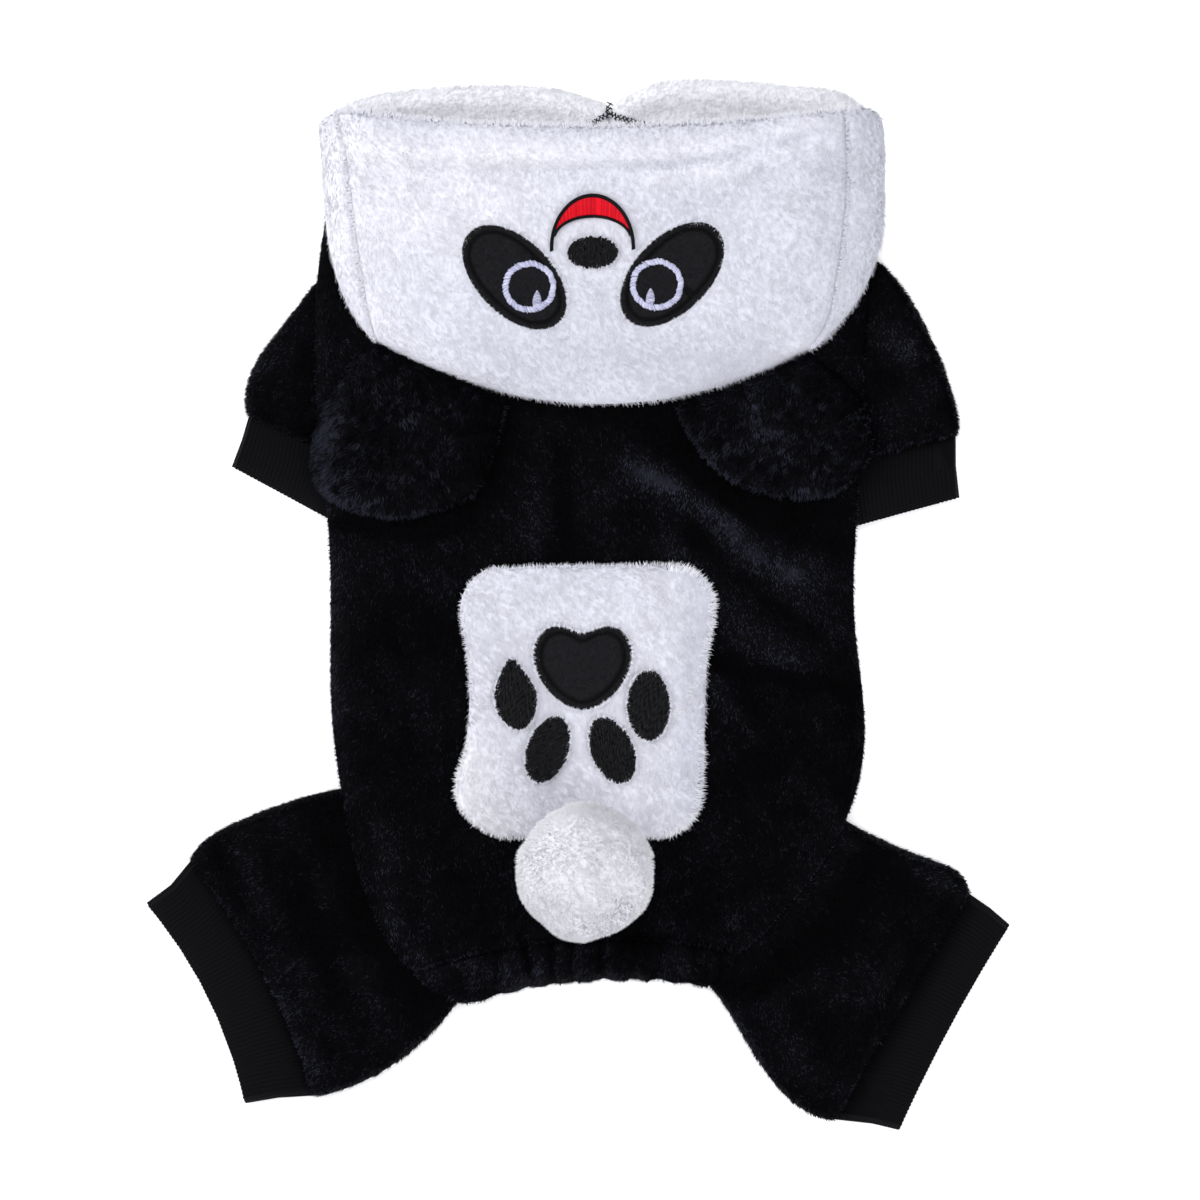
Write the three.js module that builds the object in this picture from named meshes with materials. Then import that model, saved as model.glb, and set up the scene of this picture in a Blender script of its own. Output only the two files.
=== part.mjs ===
// Hooded plush dog coat with four legs, laid flat with its back up.
// Millimetres. +Z is up, +Y points to the head end, and the coat rests on Z = 0.
import * as THREE from "three";
import { mergeVertices } from "three/addons/utils/BufferGeometryUtils.js";

// Cloth thicknesses: the knitted or felted ground with its pile
const PLUSH = 2.6;
const LONG_PLUSH = 3.4;
const RIB = 1.6;
const FELT = 1.2;

// Gaps: at a seam, and between a piece and the panel that it lies on
const SEAM = 0.3;
const LAY = 0.8;
const FELT_LAY = 0.5;

// Heights of the laid coat
const BODY_HOLLOW_TOP = 5.8;
const LIMB_PRESSED = 5.6;
const CUFF_HEIGHT = 4.2;
const LIMB_PUFF = 3.2;
const PUFF_REACH = 18;
const HOOD_SEAT = 12.6;
const HOOD_HOLLOW_AT_RIM = 6.6;
const HOOD_HOLLOW_AT_CROWN = 1.2;
const EAR_HEIGHT = 6.4;

// Widths over which a sheet rounds down to its edge
const BODY_ROLL = 14;
const HOOD_ROLL = 24;
const EAR_ROLL = 13;
const PATCH_ROLL = 4;
const HEM_ROLL = 6;
const LIFT_FALL = 12;
const LIFT_MARGIN = 5;
const EDGE_SHARE = 0.3;

// Reach of the rounding at the folds of a flattened tube, as a share of half its height
const TUBE_ROUND = 0.9;

// Least height of the back panel's hollow over a limb
const HOLLOW_OVER_LIMB = 0.5;

// Hood rim: a hem turned under and stitched down along a groove
const RIM_HEM_WIDTH = 15;
const RIM_HEM_EXTRA = 2.2;
const RIM_GROOVE = { width: 1.8, depth: 1.5 };
const RIM_STEP = { start: 2, fall: 3 };
const RIM_ROUND = { edge: 0.6, reach: 3.5 };
const HOOD_RISE_REACH = 90;
const THROAT_HEM = { width: 9, extra: 3.2, start: 2, fall: 5, edge: 0.4, round: 4 };

// Neck seam of the body
const NECK_Y = 165;

// Every table of rows gives the two ends of a row, a and b, and bow, how far its middle is bowed
// to the left of the way from a to b, which is up the body where a row runs to the right
// Body outline
const BODY_ROWS = [
  { ax: -90, ay: 165, bx: 108, by: 165, bow: 0 },
  { ax: -94, ay: 148, bx: 111.5, by: 148, bow: 0 },
  { ax: -98, ay: 118, bx: 109.5, by: 118, bow: 0 },
  { ax: -98, ay: 84.5, bx: 106.5, by: 84.5, bow: 0 },
  { ax: -96, ay: 56, bx: 106, by: 56, bow: 0 },
  { ax: -93, ay: 26, bx: 104, by: 26, bow: 0 },
  { ax: -92.5, ay: -5.5, bx: 103.5, by: -5.5, bow: 0 },
  { ax: -92.5, ay: -36, bx: 107.5, by: -38, bow: 0 },
  { ax: -90, ay: -60, bx: 106.5, by: -62, bow: 0 },
  { ax: -85.5, ay: -84, bx: 99, by: -84, bow: 1 },
  { ax: -80, ay: -105, bx: 88, by: -102, bow: 3 },
  { ax: -71, ay: -126, bx: 73, by: -119, bow: 6 },
  { ax: -58, ay: -141, bx: 58, by: -134, bow: 9 },
  { ax: -42, ay: -150, bx: 48.5, by: -143, bow: 5 },
];
const CASING_START = 0.905;
const CASING_HALF_GAP = 0.0008;
const CASING_EXTRA = 0.6;

// Hanging folds of the back panel: a soft ridge (height up) or trough (height down) along a line
const BODY_FOLDS = [
  { x1: 20, y1: 66, x2: 68, y2: 18, width: 15, height: 2.8 },
  { x1: 40, y1: 40, x2: 80, y2: -4, width: 8, height: -2.0 },
  { x1: 53, y1: -18, x2: 72, y2: -27, width: 6, height: -1.6 },
  { x1: 72, y1: -27, x2: 100, y2: -31, width: 6, height: -1.5 },
  { x1: 52, y1: -36, x2: 66, y2: -50, width: 7, height: 1.6 },
  { x1: -4, y1: 44, x2: -4, y2: 16, width: 7, height: -1.0 },
  { x1: -67, y1: 6, x2: -62, y2: -34, width: 9, height: -1.2 },
  { x1: -72, y1: 40, x2: -50, y2: 20, width: 10, height: 1.2 },
  { x1: 62, y1: -70, x2: 74, y2: -104, width: 8, height: -1.2 },
  { x1: -60, y1: -80, x2: -46, y2: -112, width: 9, height: 1.4 },
];

// Creases that the elastic gathers into the rear hem: place at the hem, lean, depth and reach
const GATHERS = [
  { x: -41, lean: 0.3, depth: 1.4, width: 3.2, reach: 12 },
  { x: -30, lean: 0.35, depth: 1.9, width: 3.0, reach: 18 },
  { x: -19, lean: 0.4, depth: 2.3, width: 3.0, reach: 26 },
  { x: -9.5, lean: 0.2, depth: 1.8, width: 2.6, reach: 14 },
  { x: -1.5, lean: 0.1, depth: 1.6, width: 2.6, reach: 13 },
  { x: 9.5, lean: -0.1, depth: 2.0, width: 3.0, reach: 17 },
  { x: 21, lean: -0.2, depth: 1.6, width: 2.8, reach: 13 },
  { x: 30.5, lean: -0.4, depth: 2.3, width: 3.0, reach: 22 },
  { x: 41, lean: -0.5, depth: 1.5, width: 3.0, reach: 12 },
];
const GATHER_Y = -142;

// Belly panels, cut away round the four legs, with their closure edges at the middle
const BELLY_ROWS = [
  { y: 164.7, left: -80, right: 96 },
  { y: 128, left: -66, right: 76 },
  { y: 104, left: -67, right: 77 },
  { y: 76, left: -76, right: 85 },
  { y: 52, left: -83, right: 96 },
  { y: 24, left: -84, right: 95 },
  { y: -5, left: -84, right: 91 },
  { y: -38, left: -84, right: 95 },
  { y: -60, left: -81, right: 94 },
  { y: -68, left: -71, right: 86 },
  { y: -104, left: -52, right: 60 },
  { y: -134, left: -34, right: 32 },
];
const CLOSURE_X = 5;

// Limbs: rows across each flattened tube, from the body end to the cuff seam
const LIMBS = {
  fore_sleeve_left: [
    { ax: -96.5, ay: 123.5, bx: -69.5, by: 107.5 },
    { ax: -107, ay: 109.5, bx: -73, by: 95 },
    { ax: -117, ay: 97, bx: -78, by: 80.5 },
    { ax: -124, ay: 85, bx: -82.5, by: 68 },
    { ax: -124.5, ay: 72, bx: -86.5, by: 53.5 },
  ],
  fore_sleeve_right: [
    { ax: 81, ay: 114, bx: 113, by: 129.5 },
    { ax: 83.5, ay: 101, bx: 125.5, by: 115 },
    { ax: 89, ay: 84.5, bx: 134, by: 97 },
    { ax: 95, ay: 68, bx: 141, by: 80 },
    { ax: 101, ay: 52.5, bx: 143.5, by: 64.5 },
  ],
  hind_leg_left: [
    { ax: -77, ay: -66, bx: -39.5, by: -140 },
    { ax: -88.5, ay: -68.5, bx: -44, by: -148.5 },
    { ax: -104, ay: -71.5, bx: -54, by: -161 },
    { ax: -124, ay: -79, bx: -68, by: -173, bow: 2 },
    { ax: -139, ay: -86, bx: -84, by: -181.5, bow: 4 },
    { ax: -146, ay: -94.5, bx: -98.5, by: -185.5, bow: 5 },
  ],
  hind_leg_right: [
    { ax: 91.5, ay: -73, bx: 36, by: -134.5 },
    { ax: 102, ay: -82, bx: 50.5, by: -142.5 },
    { ax: 119, ay: -90, bx: 60.5, by: -160 },
    { ax: 133, ay: -95.5, bx: 72, by: -179 },
    { ax: 144, ay: -99, bx: 83, by: -190 },
    { ax: 147.5, ay: -107, bx: 95.5, by: -194.5 },
  ],
};

// Cuffs: rows after the seam with their limb, out to the open end
const CUFFS = {
  fore_cuff_left: [
    { ax: -126, ay: 61.5, bx: -88, by: 42 },
    { ax: -129.5, ay: 52, bx: -90.5, by: 31 },
  ],
  fore_cuff_right: [
    { ax: 103.5, ay: 41.5, bx: 142, by: 52 },
    { ax: 105, ay: 30, bx: 143, by: 40.5 },
  ],
  hind_cuff_left: [
    { ax: -153, ay: -105.5, bx: -113, by: -185, bow: 5.5 },
    { ax: -161.5, ay: -112, bx: -124.5, by: -187, bow: 4.8 },
  ],
  hind_cuff_right: [
    { ax: 155, ay: -114, bx: 111, by: -194.5, bow: -1 },
    { ax: 162, ay: -120, bx: 120.5, by: -197, bow: -1.5 },
  ],
};
const CUFF_INSET = 1.5;
const LIMB_TABLE = [
  { limb: "fore_sleeve_left", cuff: "fore_cuff_left" },
  { limb: "fore_sleeve_right", cuff: "fore_cuff_right" },
  { limb: "hind_leg_left", cuff: "hind_cuff_left" },
  { limb: "hind_leg_right", cuff: "hind_cuff_right" },
];

// Folds of the sleeves and legs, past the body's edge
const LIMB_FOLDS = [
  { x1: 106, y1: 96, x2: 122, y2: 108, width: 6, height: 1.6 },
  { x1: 113, y1: 92, x2: 118, y2: 74, width: 6, height: -1.3 },
  { x1: -108, y1: 104, x2: -114, y2: 76, width: 6, height: -1.1 },
  { x1: -104, y1: -84, x2: -84, y2: -126, width: 9, height: 1.8 },
  { x1: -122, y1: -92, x2: -104, y2: -140, width: 8, height: -1.4 },
  { x1: -118, y1: -120, x2: -92, y2: -164, width: 8, height: 1.5 },
  { x1: 112, y1: -96, x2: 88, y2: -134, width: 9, height: 1.7 },
  { x1: 126, y1: -108, x2: 104, y2: -150, width: 8, height: -1.4 },
  { x1: 128, y1: -128, x2: 106, y2: -168, width: 8, height: 1.3 },
];

// Hood, mouth first: left and right edge, bow of the row, and the two panel seams as shares
const HOOD_ROWS = [
  { ax: -97, ay: 185, bx: 114, by: 186.5, bow: -7.5, seamA: 0.03, seamB: 0.935 },
  { ax: -96, ay: 170.5, bx: 115, by: 174, bow: -10, seamA: 0.04, seamB: 0.935 },
  { ax: -95, ay: 154, bx: 115, by: 155.5, bow: -9.5, seamA: 0.045, seamB: 0.935 },
  { ax: -93.5, ay: 137, bx: 114, by: 137.5, bow: -11, seamA: 0.05, seamB: 0.93 },
  { ax: -89.5, ay: 121, bx: 108.5, by: 121, bow: -14, seamA: 0.045, seamB: 0.94 },
  { ax: -84, ay: 109, bx: 100.5, by: 108.5, bow: -18, seamA: 0.03, seamB: 0.965 },
  { ax: -77.5, ay: 100.5, bx: 89, by: 97, bow: -23, seamA: 0.012, seamB: 0.985 },
];
const HOOD_UNDER_ROWS = [
  { ax: -84, ay: 164, bx: 102, by: 164, bow: 0 },
  { ax: -82, ay: 140, bx: 100, by: 140, bow: -5 },
  { ax: -76, ay: 122, bx: 94, by: 122, bow: -12 },
  { ax: -66, ay: 110, bx: 78, by: 108, bow: -21 },
];

// Throat side of the hood, whose inside shows past the rim: far edge and neck seam
const THROAT_NEAR_Y = NECK_Y + SEAM;
const THROAT_LEFT = [
  { x: -92, far: 183 },
  { x: -84, far: 189 },
  { x: -66, far: 192.5 },
  { x: -46, far: 194 },
  { x: -24, far: 194.5 },
  { x: -8, far: 193 },
  { x: 3, far: 190 },
  { x: 11.4, far: 187 },
];
const THROAT_RIGHT = [
  { x: 12.2, far: 187 },
  { x: 18.5, far: 190.5 },
  { x: 25.5, far: 194 },
  { x: 34.5, far: 196.5 },
  { x: 54, far: 196.5 },
  { x: 76, far: 194.5 },
  { x: 98, far: 192.5 },
  { x: 108, far: 185 },
];

// Ears: rows across, from the crown seam to the round tip
const EARS = {
  ear_left: [
    { ax: -79.5, ay: 99.8, bx: -26.5, by: 77.6, bow: -0.6 },
    { ax: -88, ay: 84, bx: -28, by: 69.5, bow: 0 },
    { ax: -95.5, ay: 74, bx: -30, by: 61.5, bow: 0 },
    { ax: -100, ay: 61, bx: -33, by: 52, bow: 0 },
    { ax: -99.5, ay: 49, bx: -37, by: 43, bow: 0 },
    { ax: -93, ay: 39, bx: -45, by: 38, bow: 0 },
    { ax: -80, ay: 34.5, bx: -58, by: 34, bow: -1.5 },
  ],
  ear_right: [
    { ax: 37, ay: 74.2, bx: 86.5, by: 94.8, bow: -1.6 },
    { ax: 40, ay: 68, bx: 94, by: 88.5, bow: 0 },
    { ax: 44, ay: 61, bx: 104, by: 81, bow: 0 },
    { ax: 48, ay: 55, bx: 110, by: 72, bow: 0 },
    { ax: 53, ay: 50, bx: 111.5, by: 60, bow: 0 },
    { ax: 62, ay: 44.5, bx: 106.5, by: 48.5, bow: 0 },
    { ax: 74, ay: 41, bx: 95, by: 41.5, bow: -1 },
  ],
};

// Plush patch on the back, with its sides drawn in between the corners
const PATCH_ROWS = [
  { ax: -34, ay: 13.5, bx: 42, by: 14.5, bow: 1 },
  { ax: -42.5, ay: 7.5, bx: 50.5, by: 8, bow: 0 },
  { ax: -44.5, ay: -3, bx: 51.5, by: -2, bow: 0 },
  { ax: -42, ay: -12, bx: 49, by: -14, bow: 0 },
  { ax: -40.5, ay: -28, bx: 48, by: -32, bow: 0 },
  { ax: -41, ay: -50.5, bx: 47.5, by: -54.5, bow: 0 },
  { ax: -45.5, ay: -64, bx: 47, by: -69.5, bow: 0 },
  { ax: -46, ay: -75, bx: 44.5, by: -79, bow: 0 },
  { ax: -38, ay: -83.5, bx: 39, by: -85, bow: 0 },
  { ax: -29, ay: -87, bx: 31, by: -87, bow: 0.5 },
];

// Felt eye patches: ovals on the slant
const EYE = { long: 24.5, short: 14.5 };
const EYES = [
  { name: "eye_patch_left", x: -23.6, y: 122.5, tilt: -45 },
  { name: "eye_patch_right", x: 35.4, y: 123.6, tilt: 45 },
];

// Felt pad of the paw, a heart with a round point: its widest row is at middle
const PAW = { x: 1.9, top: -7, middle: -19, bottom: -40, half: 19, notch: 3.8 };
const PAW_CURVES = { lobe: 4.6, notch: 12, point: 1.72 };

// Pompom: a ball of short locks
const POMPOM = { x: 3, y: -99.5, radius: 24.6, lock: 2.2, rings: 12, spokes: 18, flatten: 0.93 };

const COLOURS = {
  blackPlush: { color: 0x0d0d12, roughness: 0.92, metalness: 0 },
  whitePlush: { color: 0xf4f4f6, roughness: 0.95, metalness: 0 },
  blackRib: { color: 0x17171a, roughness: 0.9, metalness: 0 },
  blackFelt: { color: 0x1b1b1d, roughness: 0.97, metalness: 0 },
};

const group = new THREE.Group();

function addPiece(name, finish, geometry) {
  const mesh = new THREE.Mesh(geometry, new THREE.MeshStandardMaterial(COLOURS[finish]));
  mesh.name = name;
  group.add(mesh);
}

const clamp01 = (value) => THREE.MathUtils.clamp(value, 0, 1);
const smooth = (value) => THREE.MathUtils.smoothstep(value, 0, 1);
const lerp = THREE.MathUtils.lerp;

// Quarter round: 0 at the edge, 1 from the given reach inwards
function dome(inset, reach) {
  const away = 1 - clamp01(inset / reach);
  return Math.sqrt(1 - away * away);
}

// Soft ridge or trough: full along its line, fading across it and past its ends
function foldHeight(folds, x, y) {
  let height = 0;
  for (const fold of folds) {
    const along = new THREE.Vector2(fold.x2 - fold.x1, fold.y2 - fold.y1);
    const length = along.length();
    along.divideScalar(length);
    const run = (x - fold.x1) * along.x + (y - fold.y1) * along.y;
    const side = (y - fold.y1) * along.x - (x - fold.x1) * along.y;
    const past = Math.max(0, -run, run - length);
    const across = side / fold.width;
    const beyond = past / (1.2 * fold.width);
    height += fold.height * Math.exp(-across * across - beyond * beyond);
  }
  return height;
}

function gatherHeight(x, y) {
  let height = 0;
  for (const gather of GATHERS) {
    const rise = y - GATHER_Y;
    const across = (x - gather.x - gather.lean * rise) / gather.width;
    const along = Math.max(0, rise) / gather.reach;
    height -= gather.depth * Math.exp(-across * across - along * along);
  }
  return height;
}

// Places across or along a sheet, closer together at both edges
function spread(steps, edge) {
  return [0, edge, ...evenly(steps - 4, 3 * edge, 1 - 3 * edge), 1 - edge, 1];
}

function evenly(steps, start = 0, end = 1) {
  return Array.from({ length: steps + 1 }, (unused, step) => lerp(start, end, step / steps));
}

// A sheet's plan: two edge curves through the rows' ends, and bowed rows between them
class Plan {
  constructor(rows) {
    this.left = new THREE.SplineCurve(rows.map((row) => new THREE.Vector2(row.ax, row.ay)));
    this.right = new THREE.SplineCurve(rows.map((row) => new THREE.Vector2(row.bx, row.by)));
    this.bows = new THREE.SplineCurve(rows.map((row, at) => new THREE.Vector2(at, row.bow ?? 0)));
  }

  point(along, across) {
    const a = this.left.getPoint(along);
    const b = this.right.getPoint(along);
    const bow = 4 * this.bows.getPoint(along).y * across * (1 - across);
    const square = new THREE.Vector2(a.y - b.y, b.x - a.x).normalize();
    return a.lerp(b, across).addScaledVector(square, bow);
  }

  grid(along, across) {
    return along.map((v) => across.map((u) => this.point(v, u)));
  }

  sidePoints(across, steps = 60) {
    return evenly(steps).map((v) => this.point(v, across));
  }

  rowPoints(along, steps = 40) {
    return evenly(steps).map((u) => this.point(along, u));
  }

  outline() {
    return [
      ...this.sidePoints(0),
      ...this.rowPoints(1),
      ...this.sidePoints(1).reverse(),
      ...this.rowPoints(0).reverse(),
    ];
  }
}

// Shortest distance from a place to a line of points
function distanceTo(points, x, y) {
  let nearest = Infinity;
  for (let at = 1; at < points.length; at += 1) {
    const from = points[at - 1];
    const to = points[at];
    const dx = to.x - from.x;
    const dy = to.y - from.y;
    const run = clamp01(((x - from.x) * dx + (y - from.y) * dy) / (dx * dx + dy * dy || 1));
    nearest = Math.min(nearest, Math.hypot(x - from.x - run * dx, y - from.y - run * dy));
  }
  return nearest;
}

function isInside(points, x, y) {
  let inside = false;
  for (let at = 0, last = points.length - 1; at < points.length; last = at, at += 1) {
    const a = points[at];
    const b = points[last];
    if (a.y > y !== b.y > y && x < ((b.x - a.x) * (y - a.y)) / (b.y - a.y) + a.x) {
      inside = !inside;
    }
  }
  return inside;
}

// Closed body from corner points and faces, turned to face outwards
function closedBody(corners, faces) {
  const triangles = [];
  for (const face of faces) {
    for (let at = 2; at < face.length; at += 1) {
      triangles.push([face[0], face[at - 1], face[at]]);
    }
  }
  let volume = 0;
  const cross = new THREE.Vector3();
  for (const [a, b, c] of triangles) {
    cross.crossVectors(corners[b], corners[c]);
    volume += corners[a].dot(cross);
  }
  const ordered = volume < 0 ? triangles.map(([a, b, c]) => [a, c, b]) : triangles;
  const geometry = new THREE.BufferGeometry();
  geometry.setAttribute("position", new THREE.Float32BufferAttribute(
    corners.flatMap((corner) => [corner.x, corner.y, corner.z]), 3));
  geometry.setIndex(ordered.flat());
  return mergeVertices(geometry, 0.001);
}

// A sheet of cloth: an upper and a lower face over one grid, joined round the edge
function sheetBody(grid, topAt, underAt) {
  const rows = grid.length;
  const columns = grid[0].length;
  const corners = [];
  for (const heightAt of [topAt, underAt]) {
    for (const row of grid) {
      for (const place of row) {
        corners.push(new THREE.Vector3(place.x, place.y, heightAt(place.x, place.y)));
      }
    }
  }
  const lower = rows * columns;
  const index = (row, column) => row * columns + column;
  const faces = [];
  for (let row = 1; row < rows; row += 1) {
    for (let column = 1; column < columns; column += 1) {
      const quad = [
        index(row - 1, column - 1),
        index(row, column - 1),
        index(row, column),
        index(row - 1, column),
      ];
      faces.push(quad);
      faces.push(quad.map((corner) => corner + lower).reverse());
    }
  }
  const count = (length) => Array.from({ length }, (unused, at) => at);
  const rim = [
    ...count(columns - 1).map((column) => index(0, column)),
    ...count(rows - 1).map((row) => index(row, columns - 1)),
    ...count(columns - 1).map((column) => index(rows - 1, columns - 1 - column)),
    ...count(rows - 1).map((row) => index(rows - 1 - row, 0)),
  ];
  rim.forEach((corner, at) => {
    const next = rim[(at + 1) % rim.length];
    faces.push([corner, next, next + lower, corner + lower]);
  });
  return closedBody(corners, faces);
}

// A flat disc of cloth round a middle point, with its edge given by angle
function discBody(middle, edgeAt, spokes, rings, topAt, underAt) {
  const corners = [];
  for (const heightAt of [topAt, underAt]) {
    corners.push(new THREE.Vector3(middle.x, middle.y, heightAt(middle.x, middle.y)));
    for (let ring = 1; ring <= rings; ring += 1) {
      for (let spoke = 0; spoke < spokes; spoke += 1) {
        const edge = edgeAt((spoke / spokes) * 2 * Math.PI);
        const x = lerp(middle.x, edge.x, ring / rings);
        const y = lerp(middle.y, edge.y, ring / rings);
        corners.push(new THREE.Vector3(x, y, heightAt(x, y)));
      }
    }
  }
  const lower = 1 + rings * spokes;
  const index = (ring, spoke) => 1 + (ring - 1) * spokes + (spoke % spokes);
  const faces = [];
  for (let spoke = 0; spoke < spokes; spoke += 1) {
    const upper = [[0, index(1, spoke), index(1, spoke + 1)]];
    for (let ring = 2; ring <= rings; ring += 1) {
      upper.push([
        index(ring - 1, spoke),
        index(ring, spoke),
        index(ring, spoke + 1),
        index(ring - 1, spoke + 1),
      ]);
    }
    for (const face of upper) {
      faces.push(face);
      faces.push(face.map((corner) => corner + lower).reverse());
    }
    const edge = index(rings, spoke);
    const next = index(rings, spoke + 1);
    faces.push([edge, edge + lower, next + lower, next]);
  }
  return closedBody(corners, faces);
}

// A flattened tube of cloth with open ends: an upper and a lower leaf, joined at both folds, whose
// fold line lies at the height base
function tubeBody(grid, wall, base, heightAt) {
  const columns = grid[0].length;
  const ringSize = 2 * (columns - 1);
  const corners = [];
  for (const row of grid) {
    const width = row[0].distanceTo(row[columns - 1]);
    for (const inset of [0, wall]) {
      const share = inset / width;
      const places = row.map((place, column) => {
        const across = column / (columns - 1);
        const towards = across < 0.5 ? row[columns - 1] : row[0];
        const edge = Math.min(place.distanceTo(row[0]), place.distanceTo(row[columns - 1]));
        const pull = inset === 0 ? 0 : share * (1 - clamp01(edge / (0.5 * width)));
        return { place: place.clone().lerp(towards, pull), edge };
      });
      const ring = [];
      for (const side of [1, -1]) {
        const order = side > 0 ? places.slice(0, -1) : places.slice(1).reverse();
        for (const { place, edge } of order) {
          const height = heightAt(place.x, place.y);
          const round = dome(edge, TUBE_ROUND * base);
          const top = base + (height - base - inset) * round;
          const bottom = base - (base - inset) * round;
          ring.push(new THREE.Vector3(place.x, place.y, side > 0 ? top : bottom));
        }
      }
      corners.push(...ring);
    }
  }
  const index = (row, shell, at) => (2 * row + shell) * ringSize + (at % ringSize);
  const faces = [];
  for (let at = 0; at < ringSize; at += 1) {
    for (let row = 1; row < grid.length; row += 1) {
      for (const shell of [0, 1]) {
        const quad = [
          index(row - 1, shell, at),
          index(row, shell, at),
          index(row, shell, at + 1),
          index(row - 1, shell, at + 1),
        ];
        faces.push(shell === 0 ? quad : quad.reverse());
      }
    }
    for (const [row, turn] of [[0, false], [grid.length - 1, true]]) {
      const quad = [
        index(row, 0, at),
        index(row, 0, at + 1),
        index(row, 1, at + 1),
        index(row, 1, at),
      ];
      faces.push(turn ? quad.reverse() : quad);
    }
  }
  return closedBody(corners, faces);
}

const bodyPlan = new Plan(BODY_ROWS);
const bodySides = [bodyPlan.sidePoints(0), bodyPlan.sidePoints(1)];
const bodyOutline = bodyPlan.outline();

// The hem's edge is drawn up where the elastic creases it
const HEM_SCALLOP = 0.7;
function casingPoint(along, across) {
  const place = bodyPlan.point(along, across);
  const share = (along - CASING_START) / (1 - CASING_START);
  place.y -= HEM_SCALLOP * gatherHeight(place.x, GATHER_Y) * share;
  return place;
}
const hemLine = evenly(80).map((u) => casingPoint(1, u));

// How far inside the body's side edges a place lies, less than 0 outside them
function bodyInset(x, y) {
  const away = Math.min(...bodySides.map((side) => distanceTo(side, x, y)));
  return isInside(bodyOutline, x, Math.min(y, NECK_Y - 1)) ? away : -away;
}

// Sleeves, legs and cuffs
function seamRow(limb, next) {
  const last = limb[limb.length - 1];
  const a = new THREE.Vector2(last.ax, last.ay);
  const b = new THREE.Vector2(last.bx, last.by);
  const across = b.clone().sub(a).normalize();
  const out = new THREE.Vector2(across.y, -across.x);
  const onward = new THREE.Vector2(next.ax, next.ay).sub(a);
  if (out.dot(onward) < 0) out.negate();
  a.addScaledVector(out, SEAM).addScaledVector(across, CUFF_INSET);
  b.addScaledVector(out, SEAM).addScaledVector(across, -CUFF_INSET);
  return { ax: a.x, ay: a.y, bx: b.x, by: b.y, bow: last.bow ?? 0 };
}

const limbPlans = {};
for (const { limb, cuff } of LIMB_TABLE) {
  limbPlans[limb] = new Plan(LIMBS[limb]);
  limbPlans[cuff] = new Plan([seamRow(LIMBS[limb], CUFFS[cuff][0]), ...CUFFS[cuff]]);
}
const limbOutlines = Object.values(limbPlans).map((plan) => plan.outline());

// Height at which the back panel rides over the limbs, fading out beside them
function limbLift(x, y) {
  let lift = 0;
  for (const outline of limbOutlines) {
    const away = isInside(outline, x, y) ? 0 : distanceTo(outline, x, y);
    lift = Math.max(lift, smooth(1 - (away - LIFT_MARGIN) / LIFT_FALL));
  }
  return lift * (LIMB_PRESSED + LAY);
}

function limbHeight(x, y) {
  const outside = clamp01(-bodyInset(x, y) / PUFF_REACH);
  const puff = LIMB_PUFF + foldHeight(LIMB_FOLDS, x, y);
  return LIMB_PRESSED + puff * smooth(outside);
}

// The back panel and the casing: an even wall that rounds down to its side edges
function bodySheet(x, y, inset, relief, wall, extra) {
  const foot = limbLift(x, y);
  const seat = Math.max(BODY_HOLLOW_TOP, foot + HOLLOW_OVER_LIMB);
  const roll = dome(inset - (PLUSH - wall), BODY_ROLL - (PLUSH - wall));
  return foot + (seat + wall + extra + relief - foot) * roll;
}

function bodyRelief(x, y) {
  return foldHeight(BODY_FOLDS, x, y) + gatherHeight(x, y);
}

function bodyUnder(x, y) {
  return bodySheet(x, y, bodyInset(x, y), bodyRelief(x, y), 0, 0);
}

function bodyTop(x, y) {
  const inset = Math.max(0, bodyInset(x, y));
  const top = bodySheet(x, y, inset, bodyRelief(x, y), PLUSH, 0);
  return Math.max(top, bodyUnder(x, y) + EDGE_SHARE * PLUSH);
}

// What a piece on the back lies on: the back panel, taken a little wider than it is
const SEAT_MARGIN = 4;
const SEAT_FALL = 8;
function seatOnBody(x, y) {
  const inset = Math.max(0, bodyInset(x, y) + SEAT_MARGIN);
  const past = smooth((y - NECK_Y - 1) / SEAT_FALL);
  return bodySheet(x, y, inset, bodyRelief(x, y), PLUSH, 0) * (1 - past) + LAY;
}

const BODY_EDGE_STEP = 0.012;
const bodyAlong = evenly(26, 0, CASING_START - CASING_HALF_GAP);
addPiece("back_panel", "blackPlush",
  sheetBody(bodyPlan.grid(bodyAlong, spread(22, BODY_EDGE_STEP)), bodyTop, bodyUnder));

// Rear hem: a turned casing over its elastic, rounded at the edge
function casingUnder(x, y) {
  const inset = Math.min(bodyInset(x, y), distanceTo(hemLine, x, y) * (BODY_ROLL / HEM_ROLL));
  return bodySheet(x, y, inset, bodyRelief(x, y), 0, 0);
}

function casingTop(x, y) {
  const hem = distanceTo(hemLine, x, y) * (BODY_ROLL / HEM_ROLL);
  const inset = Math.max(0, Math.min(bodyInset(x, y), hem));
  const top = bodySheet(x, y, inset, bodyRelief(x, y), PLUSH, CASING_EXTRA);
  return Math.max(top, casingUnder(x, y) + EDGE_SHARE * PLUSH);
}

const casingAlong = evenly(5, CASING_START + CASING_HALF_GAP, 1);
addPiece("hem_casing", "blackPlush",
  sheetBody(casingAlong.map((v) => spread(38, BODY_EDGE_STEP).map((u) => casingPoint(v, u))),
    casingTop, casingUnder));

// Belly panels on the ground
for (const side of [-1, 1]) {
  const name = side < 0 ? "belly_left" : "belly_right";
  const grid = BELLY_ROWS.map((row) => {
    const inner = CLOSURE_X + side * SEAM / 2;
    const outer = side < 0 ? row.left : row.right;
    return evenly(3).map((u) => new THREE.Vector2(lerp(inner, outer, u), row.y));
  });
  addPiece(name, "blackPlush", sheetBody(grid, () => PLUSH, () => 0));
}

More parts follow.
